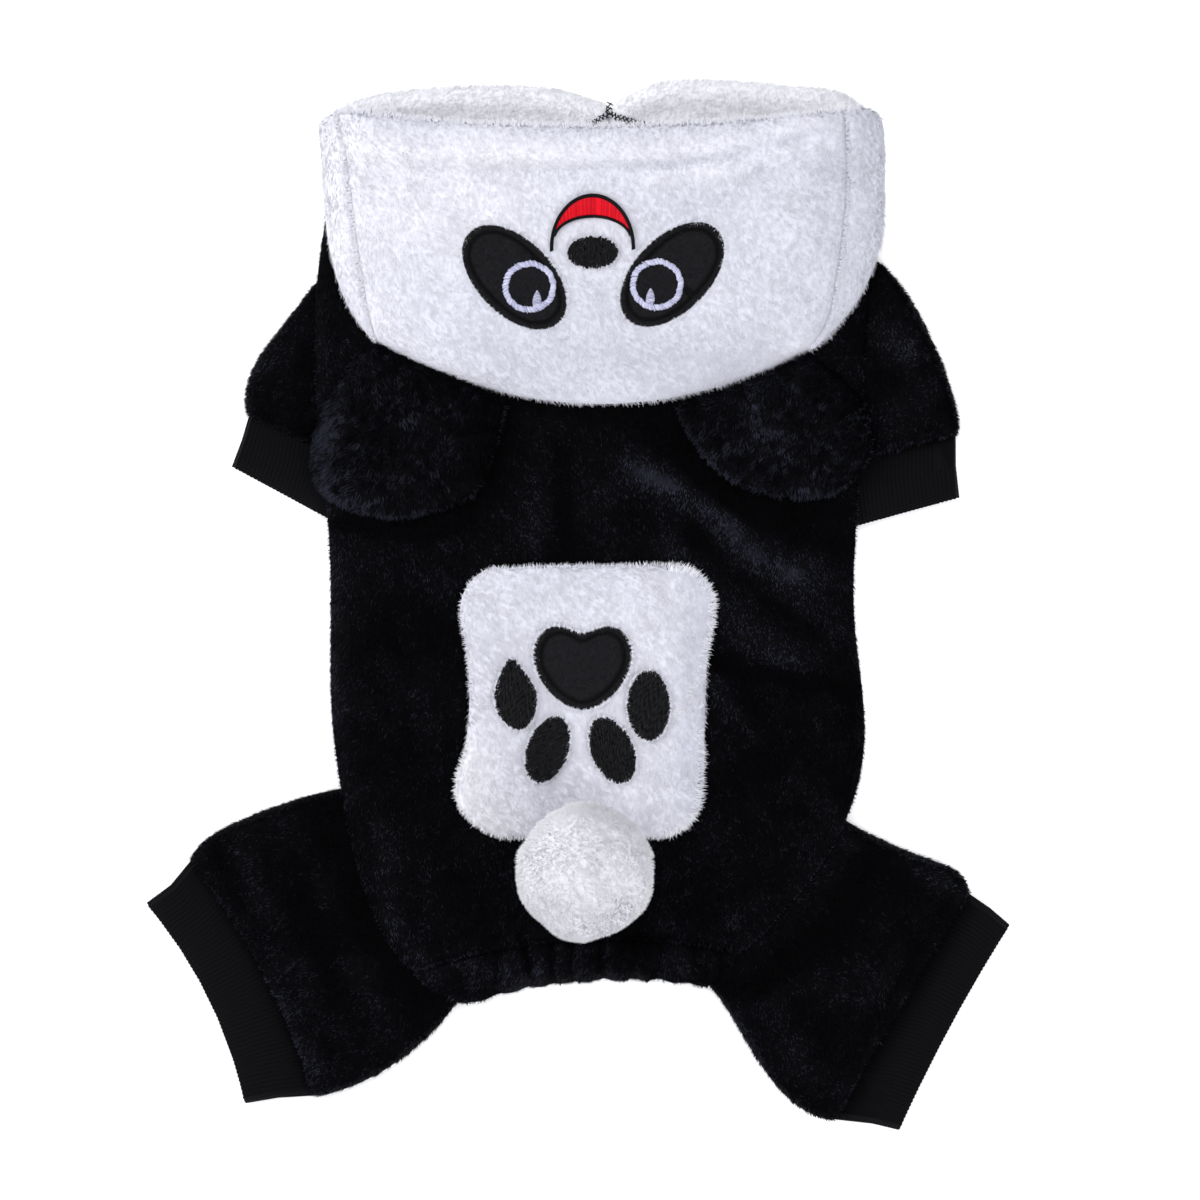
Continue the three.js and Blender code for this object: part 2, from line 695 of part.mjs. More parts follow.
const TUBE_ACROSS = [0, 0.025, 0.07, 0.24, 0.42, 0.6, 0.8, 0.93, 0.975, 1];
for (const { limb, cuff } of LIMB_TABLE) {
  addPiece(limb, "blackPlush",
    tubeBody(limbPlans[limb].grid(evenly(6), TUBE_ACROSS), PLUSH, LIMB_PRESSED / 2, limbHeight));
  addPiece(cuff, "blackRib",
    tubeBody(limbPlans[cuff].grid(evenly(2), TUBE_ACROSS), RIB, CUFF_HEIGHT / 2,
      () => CUFF_HEIGHT));
}

// Hood
const hoodPlan = new Plan(HOOD_ROWS);
const hoodEdges = [hoodPlan.sidePoints(0), hoodPlan.rowPoints(1), hoodPlan.sidePoints(1)];
const hoodRim = hoodPlan.rowPoints(0);
const hoodSeams = ["seamA", "seamB"].map((seam) => new THREE.SplineCurve(
  HOOD_ROWS.map((row, at) => new THREE.Vector2(at, row[seam]))));

function hoodInset(x, y) {
  return Math.min(...hoodEdges.map((edge) => distanceTo(edge, x, y)));
}

function hoodSeat(x, y) {
  const towardsRim = smooth(1 - distanceTo(hoodRim, x, y) / HOOD_RISE_REACH);
  return HOOD_SEAT + lerp(HOOD_HOLLOW_AT_CROWN, HOOD_HOLLOW_AT_RIM, towardsRim);
}

function hoodUnder(x, y) {
  const foot = seatOnBody(x, y);
  return foot + (hoodSeat(x, y) - foot) * dome(hoodInset(x, y) - PLUSH, HOOD_ROLL - PLUSH);
}

// Extra height of the turned rim, with the groove that its stitches draw in
function rimHem(x, y) {
  const inset = distanceTo(hoodRim, x, y);
  const turned = RIM_HEM_EXTRA * smooth((RIM_HEM_WIDTH + RIM_STEP.start - inset) / RIM_STEP.fall);
  const groove = (inset - RIM_HEM_WIDTH) / RIM_GROOVE.width;
  return turned - RIM_GROOVE.depth * Math.exp(-groove * groove);
}

function hoodTop(x, y) {
  const foot = seatOnBody(x, y);
  const rise = hoodSeat(x, y) + PLUSH + rimHem(x, y) - foot;
  const top = foot + rise * dome(hoodInset(x, y), HOOD_ROLL);
  const rimRound = dome(distanceTo(hoodRim, x, y) + RIM_ROUND.edge, RIM_ROUND.reach);
  const under = hoodUnder(x, y);
  return Math.max(under + (top - under) * rimRound, under + EDGE_SHARE * PLUSH);
}

const HOOD_ALONG = [0, 0.015, 0.04, 0.08, 0.115, 0.135, 0.155, 0.19, ...evenly(8, 0.26, 0.9),
  0.945, 0.985, 1];
function hoodGrid(startAt, endAt, steps) {
  return HOOD_ALONG.map((v) => evenly(steps).map((u) =>
    hoodPlan.point(v, lerp(startAt(v), endAt(v), u))));
}
const hoodWidth = HOOD_ROWS[0].bx - HOOD_ROWS[0].ax;
const halfSeam = (0.5 * SEAM) / hoodWidth;
const [seamA, seamB] = hoodSeams.map((curve) => (v) => curve.getPoint(v).y);
addPiece("hood_face", "whitePlush", sheetBody(
  hoodGrid((v) => seamA(v) + halfSeam, (v) => seamB(v) - halfSeam, 18), hoodTop, hoodUnder));
addPiece("hood_side_left", "whitePlush", sheetBody(
  hoodGrid(() => 0, (v) => seamA(v) - halfSeam, 2), hoodTop, hoodUnder));
addPiece("hood_side_right", "whitePlush", sheetBody(
  hoodGrid((v) => seamB(v) + halfSeam, () => 1, 4), hoodTop, hoodUnder));

// Back of the hood, hidden under its face
const underPlan = new Plan(HOOD_UNDER_ROWS);
addPiece("hood_back", "whitePlush", sheetBody(
  underPlan.grid(evenly(8), evenly(10)),
  (x, y) => seatOnBody(x, y) + PLUSH,
  seatOnBody));

// Throat panels on the ground past the neck seam, with a rolled far edge
const THROATS = { hood_throat_left: THROAT_LEFT, hood_throat_right: THROAT_RIGHT };
for (const [name, rows] of Object.entries(THROATS)) {
  const plan = new Plan(rows.map((row) => ({
    ax: row.x, ay: row.far, bx: row.x, by: THROAT_NEAR_Y,
  })));
  const farEdge = plan.sidePoints(0);
  const topAt = (x, y) => {
    const inset = distanceTo(farEdge, x, y);
    const { width, extra, start, fall, edge, round } = THROAT_HEM;
    const roll = extra * smooth((width + start - inset) / fall);
    return lerp(EDGE_SHARE * PLUSH, PLUSH + roll, dome(inset + edge, round));
  };
  addPiece(name, "whitePlush", sheetBody(
    plan.grid(evenly(12), [0, 0.07, 0.2, 0.36, 0.6, 1]), topAt, () => 0));
}

// Ears: two layers sewn and turned, lying on the back
const EAR_EDGE_HEIGHT = 1.6;
const EAR_EDGE_STEP = 0.03;
for (const [name, rows] of Object.entries(EARS)) {
  const plan = new Plan(rows);
  const edge = plan.outline();
  addPiece(name, "blackPlush", sheetBody(
    plan.grid(spread(11, EAR_EDGE_STEP), spread(11, EAR_EDGE_STEP)),
    (x, y) => seatOnBody(x, y)
      + lerp(EAR_EDGE_HEIGHT, EAR_HEIGHT, dome(distanceTo(edge, x, y), EAR_ROLL)),
    seatOnBody));
}

// Patch and paw on the back
const patchPlan = new Plan(PATCH_ROWS);
const patchEdge = patchPlan.outline();
const PATCH_EDGE_STEP = 0.02;
const patchUnder = (x, y) => bodyTop(x, y) + LAY;
const patchTop = (x, y) => patchUnder(x, y)
  + lerp(EDGE_SHARE * LONG_PLUSH, LONG_PLUSH, dome(distanceTo(patchEdge, x, y), PATCH_ROLL));
addPiece("back_patch", "whitePlush",
  sheetBody(patchPlan.grid(spread(14, PATCH_EDGE_STEP), spread(12, PATCH_EDGE_STEP)), patchTop,
    patchUnder));

const pawMiddle = new THREE.Vector2(PAW.x, PAW.middle);
function pawEdge(angle) {
  const side = Math.cos(angle);
  const away = Math.abs(side);
  const { lobe, notch, point } = PAW_CURVES;
  const upper = PAW.top - PAW.middle;
  const lower = PAW.middle - PAW.bottom;
  const rise = Math.sin(angle) > 0
    ? upper * Math.sqrt(1 - away ** lobe) - PAW.notch * Math.exp(-notch * side * side)
    : -lower * (1 - away ** point) ** (1 / point);
  return new THREE.Vector2(PAW.x + PAW.half * side, PAW.middle + rise);
}
addPiece("paw_pad", "blackFelt", discBody(pawMiddle, pawEdge, 28, 2,
  (x, y) => patchTop(x, y) + FELT_LAY + FELT,
  (x, y) => patchTop(x, y) + FELT_LAY));

// Eye patches on the hood's face
for (const eye of EYES) {
  const middle = new THREE.Vector2(eye.x, eye.y);
  const tilt = THREE.MathUtils.degToRad(eye.tilt);
  const edgeAt = (angle) => new THREE.Vector2()
    .set(EYE.long * Math.cos(angle), EYE.short * Math.sin(angle))
    .rotateAround(new THREE.Vector2(), tilt)
    .add(middle);
  addPiece(eye.name, "blackFelt", discBody(middle, edgeAt, 24, 2,
    (x, y) => hoodTop(x, y) + FELT_LAY + FELT,
    (x, y) => hoodTop(x, y) + FELT_LAY));
}

// Pompom tail: each facet of the ball carries one short lock
function pompomBody() {
  const { radius, lock, rings, spokes, flatten } = POMPOM;
  const base = bodyTop(POMPOM.x, POMPOM.y) + SEAM;
  const middleZ = base + (radius + lock) * flatten;
  const at = (polar, turn, reach) => new THREE.Vector3(
    POMPOM.x + reach * Math.sin(polar) * Math.cos(turn),
    POMPOM.y + reach * Math.sin(polar) * Math.sin(turn),
    middleZ + flatten * reach * Math.cos(polar));
  const corners = [at(0, 0, radius), at(Math.PI, 0, radius)];
  const polarStep = Math.PI / rings;
  const turnStep = (2 * Math.PI) / spokes;
  for (let ring = 1; ring < rings; ring += 1) {
    for (let spoke = 0; spoke < spokes; spoke += 1) {
      corners.push(at(ring * polarStep, spoke * turnStep, radius));
    }
  }
  const index = (ring, spoke) => {
    const between = 2 + (ring - 1) * spokes + (spoke % spokes);
    const end = ring === 0 ? 0 : 1;
    return ring === 0 || ring === rings ? end : between;
  };
  const faces = [];
  for (let ring = 0; ring < rings; ring += 1) {
    for (let spoke = 0; spoke < spokes; spoke += 1) {
      const facet = [
        index(ring, spoke),
        index(ring + 1, spoke),
        index(ring + 1, spoke + 1),
        index(ring, spoke + 1),
      ];
      const loop = [...new Set(facet)];
      corners.push(at((ring + 0.5) * polarStep, (spoke + 0.5) * turnStep, radius + lock));
      const tip = corners.length - 1;
      loop.forEach((corner, side) => {
        faces.push([corner, loop[(side + 1) % loop.length], tip]);
      });
    }
  }
  return closedBody(corners, faces);
}
addPiece("pompom", "whitePlush", pompomBody());

export default group;
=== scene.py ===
"""Looks of the hooded plush dog coat, laid flat with its back up.

Every cloth is a thin shell on the form of its own solid. The plush carries a pile of fine tufts, the
cuffs have knitted ribs, and the face and paw are felt and thread. All sizes below are in millimetres
unless a comment says otherwise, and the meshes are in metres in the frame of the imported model.
"""
import logging
import math
from contextlib import contextmanager
from dataclasses import dataclass, field, replace
from enum import Enum
from functools import cache
from typing import Callable, ClassVar, Iterator, NamedTuple, Sequence

import bpy
import numpy as np
from bpy.types import Material, Node, NodeSocket, Object
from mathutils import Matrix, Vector
from mathutils.bvhtree import BVHTree
from mathutils.kdtree import KDTree


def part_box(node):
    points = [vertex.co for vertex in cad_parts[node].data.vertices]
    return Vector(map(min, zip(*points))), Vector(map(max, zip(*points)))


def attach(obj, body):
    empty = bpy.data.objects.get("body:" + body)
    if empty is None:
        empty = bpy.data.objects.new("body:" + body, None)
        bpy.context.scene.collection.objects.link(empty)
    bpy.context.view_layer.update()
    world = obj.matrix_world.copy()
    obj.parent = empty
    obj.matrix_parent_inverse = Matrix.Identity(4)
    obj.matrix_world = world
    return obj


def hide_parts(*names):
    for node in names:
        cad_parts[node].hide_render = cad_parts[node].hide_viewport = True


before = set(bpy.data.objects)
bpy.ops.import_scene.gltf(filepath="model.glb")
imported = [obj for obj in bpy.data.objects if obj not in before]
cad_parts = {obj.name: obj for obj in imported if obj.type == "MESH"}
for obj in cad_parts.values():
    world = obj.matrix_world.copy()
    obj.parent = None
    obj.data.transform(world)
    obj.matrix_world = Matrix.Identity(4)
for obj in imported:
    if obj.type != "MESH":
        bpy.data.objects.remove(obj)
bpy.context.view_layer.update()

log = logging.getLogger("dog_coat")

MM = 0.001
TURN = 2 * math.pi
PHOTO_PIXELS = 1200
MM_PER_PIXEL = 0.375
PHOTO_CENTRE = (8.4, 1.9)
# How far cloths swell to meet at a seam, and how far above the floor everything stays.
SEAM_SWELL = 0.3
HEM_SWELL = 0.5
FLOOR_GAP = 0.02
STITCH_INSET = 3.0
# Width and depth of the groove that a line of stitches presses into felt.
FELT_GROOVE = (0.7, -0.35)
# Limits of the pile: tufts in one piece, tilt of a face that carries it, and step of an edge's line.
MOST_TUFTS = 49500
LOWEST_FACING = -0.35
LONGEST_STEP = 8.0
# A root needs this much clear space over it, and no cover within the second height.
HOLLOW = 5.0
COVER_HEIGHT = 40.0
ROOT_START = 0.4
ROOT_DEPTH = 0.35
# Way in plan from which the key light falls; cloth that faces it gets painted light in its pile's
# tone.
PAINTED_LIGHT_WAY = (-0.80, -0.30, 0.0)
CLUMP_CELL = 0.7
# Seed, cell and share of the slow, middle and fine patches of tone.
TONE_LAYERS = ((31, 26.0, 1.0), (32, 8.0, 0.8), (33, 3.2, 0.5))
LEAST = 1e-6
LEFT_TURN = np.array([[0.0, 1.0], [-1.0, 0.0]])

Place = tuple[float, float]
Keep = Callable[[np.ndarray], np.ndarray]


class Slot(Enum):
    """Material slots."""

    BLACK_PLUSH = "black_plush"
    WHITE_PLUSH = "white_plush"
    WHITE_YARN = "white_yarn"
    BLACK_RIB = "black_rib_knit"
    BLACK_FELT = "black_felt"


class Held(Enum):
    """How a sheet of cloth is held."""

    LAID = "laid"
    GATHERED = "gathered"


class Lean(Enum):
    """Way in which tufts along an edge lean."""

    INWARD = -1
    BOTH = 0
    OUTWARD = 1


def linear(hex_colour: str) -> tuple[float, float, float, float]:
    """Turns an sRGB hex colour into linear RGBA.

    Args:
        hex_colour: Six hex digits, red first.

    Returns:
        The linear colour with full alpha.
    """
    values = [int(hex_colour[at:at + 2], 16) / 255 for at in (0, 2, 4)]
    turned = [v / 12.92 if v <= 0.04045 else ((v + 0.055) / 1.055) ** 2.4 for v in values]
    return (*turned, 1.0)


class Shader:
    """A material being built from the few nodes that the finishes share."""

    def __init__(self, name: str) -> None:
        """Makes an empty node material.

        Args:
            name: The material's name.
        """
        self.material = bpy.data.materials.new(name)
        self.material.use_nodes = True
        self.tree = self.material.node_tree
        self.tree.nodes.clear()

    def add(self, kind: str, inputs: dict, **settings: object) -> Node:
        """Adds one node with its settings and links.

        Args:
            kind: Blender's name for the node, after ShaderNode.
            inputs: Value or output socket for each input, by name or number.
            **settings: Properties of the node.

        Returns:
            The new node.
        """
        made = self.tree.nodes.new(f"ShaderNode{kind}")
        for name, value in settings.items():
            setattr(made, name, value)
        for name, value in inputs.items():
            socket = made.inputs[name]
            if isinstance(value, NodeSocket):
                self.tree.links.new(value, socket)
            else:
                socket.default_value = value
        return made

    def read(self, attribute: str) -> NodeSocket:
        """Reads a number that the mesh carries at each point."""
        return self.add("Attribute", {}, attribute_name=attribute).outputs["Fac"]

    def math(self, operation: str, *values: object) -> NodeSocket:
        """Works out one sum or function of values and sockets."""
        return self.add("Math", dict(enumerate(values)), operation=operation).outputs[0]

    def noise(self, scale: float, detail: float, stretch: float = 1.0,
              distortion: float = 0.0) -> NodeSocket:
        """Adds noise over the object's own coordinates.

        Args:
            scale: Cells in a metre.
            detail: Finer layers of the noise.
            stretch: Scale along Y, where less than 1 draws the cells out.
            distortion: How much the cells are bent.

        Returns:
            The noise, from 0 to 1.
        """
        place = self.add("TexCoord", {}).outputs["Object"]
        if stretch != 1.0:
            place = self.add("Mapping", {"Vector": place, "Scale": (1.0, stretch, 1.0)}).outputs[0]
        return self.add("TexNoise", {"Vector": place, "Scale": scale, "Detail": detail,
                                     "Distortion": distortion}).outputs["Fac"]

    def ramp(self, factor: NodeSocket, *stops: tuple[float, str]) -> NodeSocket:
        """Adds a colour ramp.

        Args:
            factor: What drives the ramp.
            *stops: Place and hex colour of each stop.

        Returns:
            The ramp's colour.
        """
        made = self.add("ValToRGB", {0: factor})
        elements = made.color_ramp.elements
        while len(elements) < len(stops):
            elements.new(0.5)
        for element, (place, colour) in zip(elements, stops):
            element.position = place
            element.color = linear(colour)
        return made.outputs["Color"]

    def bump(self, height: NodeSocket, strength: float, depth: float) -> NodeSocket:
        """Turns a height into a bump of some millimetres."""
        return self.add("Bump", {"Height": height, "Strength": strength,
                                 "Distance": depth * MM}).outputs[0]

    def close(self, colour: object, roughness: float, specular: float, **more: object) -> Material:
        """Adds the surface and the output.

        Args:
            colour: Colour or socket of the base.
            roughness: Its roughness.
            specular: Its specular level.
            **more: Further inputs, with _ for a space in the name.

        Returns:
            The finished material.
        """
        inputs = {name.replace("_", " "): value for name, value in more.items()}
        inputs |= {"Base Color": colour, "Roughness": roughness, "Specular IOR Level": specular}
        surface = self.add("BsdfPrincipled", inputs)
        self.add("OutputMaterial", {"Surface": surface.outputs[0]})
        return self.material


@dataclass(frozen=True)
class PlushFinish:
    """Knitted polyester plush, brushed and sheared: a soft short pile with a dull sheen.

    The pile's roots lie in their own shade and its tips in the light, so each tuft runs from a root
    colour of painted shade to a tip colour of painted light. Its tone also carries painted light and
    shade laid along the cloth, and slow random patches where the pile has been brushed the other way.
    """

    slot: Slot
    name: str
    roots: str
    body: str
    tips: str
    roughness: float
    sheen: float
    sheen_tint: str
    specular: float
    ground_scale: float = 900.0
    tip_gain: float = 0.3
    sheen_roughness: float = 0.45

    @cache
    def pile(self) -> Material:
        """Material of the tufts, which reads each tuft's tip and shade attributes."""
        shader = Shader(f"{self.name}_pile")
        return self._surface(shader, shader.read("pile_tip"))

    @cache
    def ground(self) -> Material:
        """Makes the material of the knitted ground under the pile, with its fine nap as bump.

        Returns:
            The material.
        """
        shader = Shader(f"{self.name}_ground")
        fibres = shader.noise(self.ground_scale, 4.0, stretch=0.35)
        return self._surface(shader, fibres, Normal=shader.bump(fibres, 0.7, 0.6))

    def _surface(self, shader: Shader, detail: NodeSocket, **more: object) -> Material:
        """Adds the tone and surface that pile and ground share.

        Args:
            shader: The material being built.
            detail: Fine change of tone: from painted root shade to painted tip light along a tuft, or
                noise over the ground.
            **more: Further inputs of the surface.

        Returns:
            The finished material.
        """
        tone = shader.math("MULTIPLY_ADD", detail, self.tip_gain, shader.read("pile_shade"))
        colour = shader.ramp(tone, (0.0, self.roots), (0.5, self.body), (1.0, self.tips))
        return shader.close(colour, self.roughness, self.specular, Sheen_Weight=self.sheen,
                            Sheen_Roughness=self.sheen_roughness,
                            Sheen_Tint=linear(self.sheen_tint), **more)


@dataclass(frozen=True)
class RibFinish:
    """Fine cotton rib knit: matt columns of small stitches."""

    name: str = "cotton_rib_knit"
    # Painted shade: the colour in the hollows between ribs, darker than on their crowns.
    painted_hollow_shade: str = "040405"
    crown: str = "0b0b0e"
    stitch_pitch: float = 1.1

    @cache
    def material(self) -> Material:
        """Makes rows of stitches across the ribs from the cuff's own coordinates, with painted shade
        in the ribs' hollows.

        Returns:
            The material.
        """
        shader = Shader(self.name)
        fuzz = shader.noise(1500.0, 3.0)
        turns = shader.math("MULTIPLY", shader.read("cuff_along"), TURN / self.stitch_pitch)
        height = shader.math("MULTIPLY_ADD", shader.math("SINE", turns), 0.35, fuzz)
        tone = shader.math("MULTIPLY_ADD", fuzz, 0.5, shader.read("rib_crown"))
        colour = shader.ramp(tone, (0.15, self.painted_hollow_shade), (1.0, self.crown))
        return shader.close(colour, 0.88, 0.06, Sheen_Weight=0.04, Sheen_Roughness=0.5,
                            Normal=shader.bump(height, 0.6, 0.35))


@dataclass(frozen=True)
class FeltFinish:
    """Pressed polyester felt: matt, with short fibres lying every way."""

    name: str = "pressed_felt"
    # Painted shade: the colour in the groove of the stitch line.
    seam: str = "020203"
    dark: str = "08080a"
    light: str = "1e1e22"

    @cache
    def material(self) -> Material:
        """Makes a matted surface of fibres, with painted shade in the groove of its stitch line.

        Returns:
            The material.
        """
        shader = Shader(self.name)
        matted = shader.noise(700.0, 6.0, distortion=1.6)
        # The groove's depth darkens the felt as painted shade.
        tone = shader.math("MULTIPLY_ADD", shader.read("painted_seam_shade"), -0.6, matted)
        colour = shader.ramp(tone, (0.0, self.seam), (0.3, self.dark), (0.8, self.light))
        return shader.close(colour, 0.95, 0.12, Sheen_Weight=0.04, Sheen_Roughness=0.6,
                            Normal=shader.bump(matted, 0.8, 0.3))


@dataclass(frozen=True)
class ThreadFinish:
    """Twisted rayon embroidery thread: a silky line of light on each stitch."""

    name: str
    dark: str
    light: str
    roughness: float = 0.38
    specular: float = 0.3

    @cache
    def material(self) -> Material:
        """Makes a surface that changes its tone a little from stitch to stitch.

        Returns:
            The material.
        """
        shader = Shader(self.name)
        colour = shader.ramp(shader.read("pile_shade"), (0.0, self.dark), (1.0, self.light))
        return shader.close(colour, self.roughness, self.specular)


BLACK_PLUSH = PlushFinish(Slot.BLACK_PLUSH, "black_polyester_plush", "010102", "0a0a0d", "32343f",
                          roughness=0.5, sheen=0.008, sheen_tint="6a7088", specular=0.02)
WHITE_PLUSH = PlushFinish(Slot.WHITE_PLUSH, "white_polyester_plush", "d2d2dd", "ebebf3", "fcfcff",
                          roughness=0.85, sheen=0.05, sheen_tint="ffffff", specular=0.10)
WHITE_YARN = PlushFinish(Slot.WHITE_YARN, "white_trimmed_yarn", "dadadf", "e8e8ec", "f6f6f8",
                         roughness=0.90, sheen=0.05, sheen_tint="ffffff", specular=0.05)
RIB = RibFinish()
FELT = FeltFinish()
BLACK_THREAD = ThreadFinish("black_rayon_thread", "020203", "0e0e12", specular=0.14)
RING_THREAD = ThreadFinish("pale_rayon_thread", "b4b4d2", "dcdcf0")
RED_THREAD = ThreadFinish("red_rayon_thread", "b80418", "f01028", specular=0.12)
SEWING_THREAD = ThreadFinish("black_polyester_sewing_thread", "010102", "08080b", roughness=0.6,
                             specular=0.1)


@contextmanager
def editing(obj: Object, part: str = "FACE") -> Iterator[None]:
    """Opens edit mode on one object, with nothing else selected.

    Args:
        obj: The object to edit.
        part: The kind of element that is selected, VERT, EDGE or FACE.

    Yields:
        Nothing.
    """
    bpy.ops.object.select_all(action="DESELECT")
    obj.select_set(True)
    bpy.context.view_layer.objects.active = obj
    bpy.ops.object.mode_set(mode="EDIT")
    bpy.ops.mesh.select_mode(type=part)
    yield
    bpy.ops.object.mode_set(mode="OBJECT")


def points_of(obj: Object, what: str = "co") -> np.ndarray:
    """Reads three numbers for each point of a mesh.

    Args:
        obj: The mesh object.
        what: What to read, which is the place in metres unless it says otherwise.

    Returns:
        One row for each point.
    """
    flat = np.zeros(len(obj.data.vertices) * 3)
    obj.data.vertices.foreach_get(what, flat)
    return flat.reshape(-1, 3)


def normals_of(obj: Object) -> np.ndarray:
    """The mesh's point normals, one row each."""
    return points_of(obj, "normal")


def plan_of(obj: Object) -> np.ndarray:
    """X and Y of the mesh's points, in millimetres."""
    return points_of(obj)[:, :2] / MM


def set_points(obj: Object, points: np.ndarray) -> None:
    """Puts the mesh's points back, none of them below the floor.

    Args:
        obj: The mesh object.
        points: Its points in metres, one row each.
    """
    points[:, 2] = np.maximum(points[:, 2], FLOOR_GAP * MM)
    obj.data.vertices.foreach_set("co", points.ravel())
    obj.data.update()


def set_attribute(obj: Object, name: str, values: np.ndarray) -> None:
    """Writes one number for each point of the mesh."""
    attribute = obj.data.attributes.new(name, "FLOAT", "POINT")
    attribute.data.foreach_set("value", values.astype(np.float32))


def unit(vectors: np.ndarray) -> np.ndarray:
    """The vectors at length one."""
    return vectors / np.maximum(np.linalg.norm(vectors, axis=-1, keepdims=True), LEAST)


def square_to(vectors: np.ndarray, ways: np.ndarray) -> np.ndarray:
    """What is left of each vector square to a way of length one."""
    return vectors - ways * np.einsum("nd,nd->n", vectors, ways)[:, None]


def turned(x: float | np.ndarray, y: float | np.ndarray, angle: float) -> np.ndarray:
    """Places in plan, turned about the origin by an angle in radians."""
    cosine, sine = math.cos(angle), math.sin(angle)
    return np.stack([x * cosine - y * sine, x * sine + y * cosine], axis=-1)


def middle_of(node: str) -> Place:
    """Middle of a solid in plan, in millimetres."""
    low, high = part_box(node)
    return (low.x + high.x) / 2 / MM, (low.y + high.y) / 2 / MM


def between(low: float, high: float) -> Keep:
    """Test for the places whose Y lies over low and up to high."""
    return lambda places: (places[:, 1] > low) & (places[:, 1] <= high)


def tree_of(objects: Sequence[Object]) -> BVHTree:
    """A search tree over the faces of several objects.

    Args:
        objects: The objects, all at the origin.

    Returns:
        The tree, in metres.
    """
    points: list[tuple[float, float, float]] = []
    faces: list[list[int]] = []
    for obj in objects:
        start = len(points)
        points.extend(map(tuple, points_of(obj)))
        faces.extend([start + corner for corner in face.vertices] for face in obj.data.polygons)
    return BVHTree.FromPolygons(points, faces)


def surface_height(ground: BVHTree, x: float, y: float) -> float:
    """Height of the ground at a place, in millimetres."""
    hit = ground.ray_cast(Vector((x * MM, y * MM, 0.2)), Vector((0, 0, -1)))[0]
    return hit.z / MM if hit is not None else 0.0


def finish_piece(obj: Object, slot: Slot, *nodes: str) -> Object:
    """Says what a piece rides on, and hides the solids that it stands for.

    Args:
        obj: The piece.
        slot: Not used.
        *nodes: Solids that it replaces.

    Returns:
        The piece.
    """
    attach(obj, "root")
    if nodes:
        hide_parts(*nodes)
    log.info("%s: %d faces", obj.name, len(obj.data.polygons))
    return obj


def cloth_shell(node: str, levels: int, swell: float = 0.0) -> Object:
    """Makes a thin smooth cloth on the form of a solid.

    Args:
        node: The solid's name.
        levels: Levels of subdivision, which also round its edges.
        swell: How far its surface moves out, so that the cloths meet at a seam.

    Returns:
        The new object.
    """
    obj = bpy.data.objects.new(f"{node}_cloth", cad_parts[node].data.copy())
    bpy.context.scene.collection.objects.link(obj)
    obj.data.materials.clear()
    with editing(obj):
        bpy.ops.mesh.select_all(action="SELECT")
        bpy.ops.mesh.remove_doubles(threshold=0.01 * MM)
        bpy.ops.mesh.tris_convert_to_quads(face_threshold=math.radians(70),
                                           shape_threshold=math.radians(70))
        bpy.ops.mesh.faces_shade_smooth()
    if levels:
        rounder = obj.modifiers.new("round", "SUBSURF")
        rounder.levels = levels
        bpy.ops.object.modifier_apply(modifier=rounder.name)
    set_points(obj, points_of(obj) + normals_of(obj) * swell * MM)
    return obj


def sewn_cloth(node: str, finish: PlushFinish, levels: int = 2, swell: float = 0.0) -> Object:
    """Makes a plush cloth on a solid's form, as a finished piece.

    Args:
        node: The solid's name.
        finish: The plush.
        levels: Levels of subdivision.
        swell: How far its surface moves out.

    Returns:
        The piece.
    """
    cloth = cloth_shell(node, levels, swell)
    cloth.data.materials.append(finish.ground())
    return finish_piece(cloth, finish.slot, node)


def declare_sheet(obj: Object) -> None:
    """Reads the areas of a cloth's faces, and does nothing more with them.

    Args:
        obj: The cloth, whose two sides have the area of its faces.
    """
    areas = np.zeros(len(obj.data.polygons))
    obj.data.polygons.foreach_get("area", areas)


class SoftField:
    """Smooth seeded noise over the coat's plan, from -1 to 1."""

    SPAN: ClassVar[float] = 700.0

    def __init__(self, seed: int, cell: float) -> None:
        """Fills a lattice that covers the coat.

        Args:
            seed: Seed of the lattice.
            cell: Size of one cell.
        """
        self.cell = cell
        self.count = int(self.SPAN / cell) + 4
        self.values = np.random.default_rng(seed).uniform(-1, 1, (self.count, self.count))

    def __call__(self, plan: np.ndarray) -> np.ndarray:
        """Reads the field.

        Args:
            plan: X and Y of each place, in millimetres.

        Returns:
            One value for each place.
        """
        scaled = (plan + self.SPAN / 2) / self.cell
        x, y = (np.floor(scaled).astype(int) % (self.count - 1)).T
        part = scaled - np.floor(scaled)
        right, up = (part * part * (3 - 2 * part)).T
        near = self.values[x, y] * (1 - right) + self.values[x + 1, y] * right
        far = self.values[x, y + 1] * (1 - right) + self.values[x + 1, y + 1] * right
        return near * (1 - up) + far * up


class Route:
    """A line of places in plan, with the length run at each of them."""

    def __init__(self, line: Sequence[Place] | np.ndarray) -> None:
        """Measures the line.

        Args:
            line: X and Y of each place, in millimetres.
        """
        self.line = np.asarray(line, float)
        self.steps = np.diff(self.line, axis=0)
        self.lengths = np.maximum(np.hypot(*self.steps.T), LEAST)
        self.reach = np.concatenate([[0], np.cumsum(self.lengths)])

    def at(self, runs: Sequence[float] | np.ndarray) -> np.ndarray:
        """The places that lie some runs from its start."""
        return np.column_stack([np.interp(runs, self.reach, axis) for axis in self.line.T])


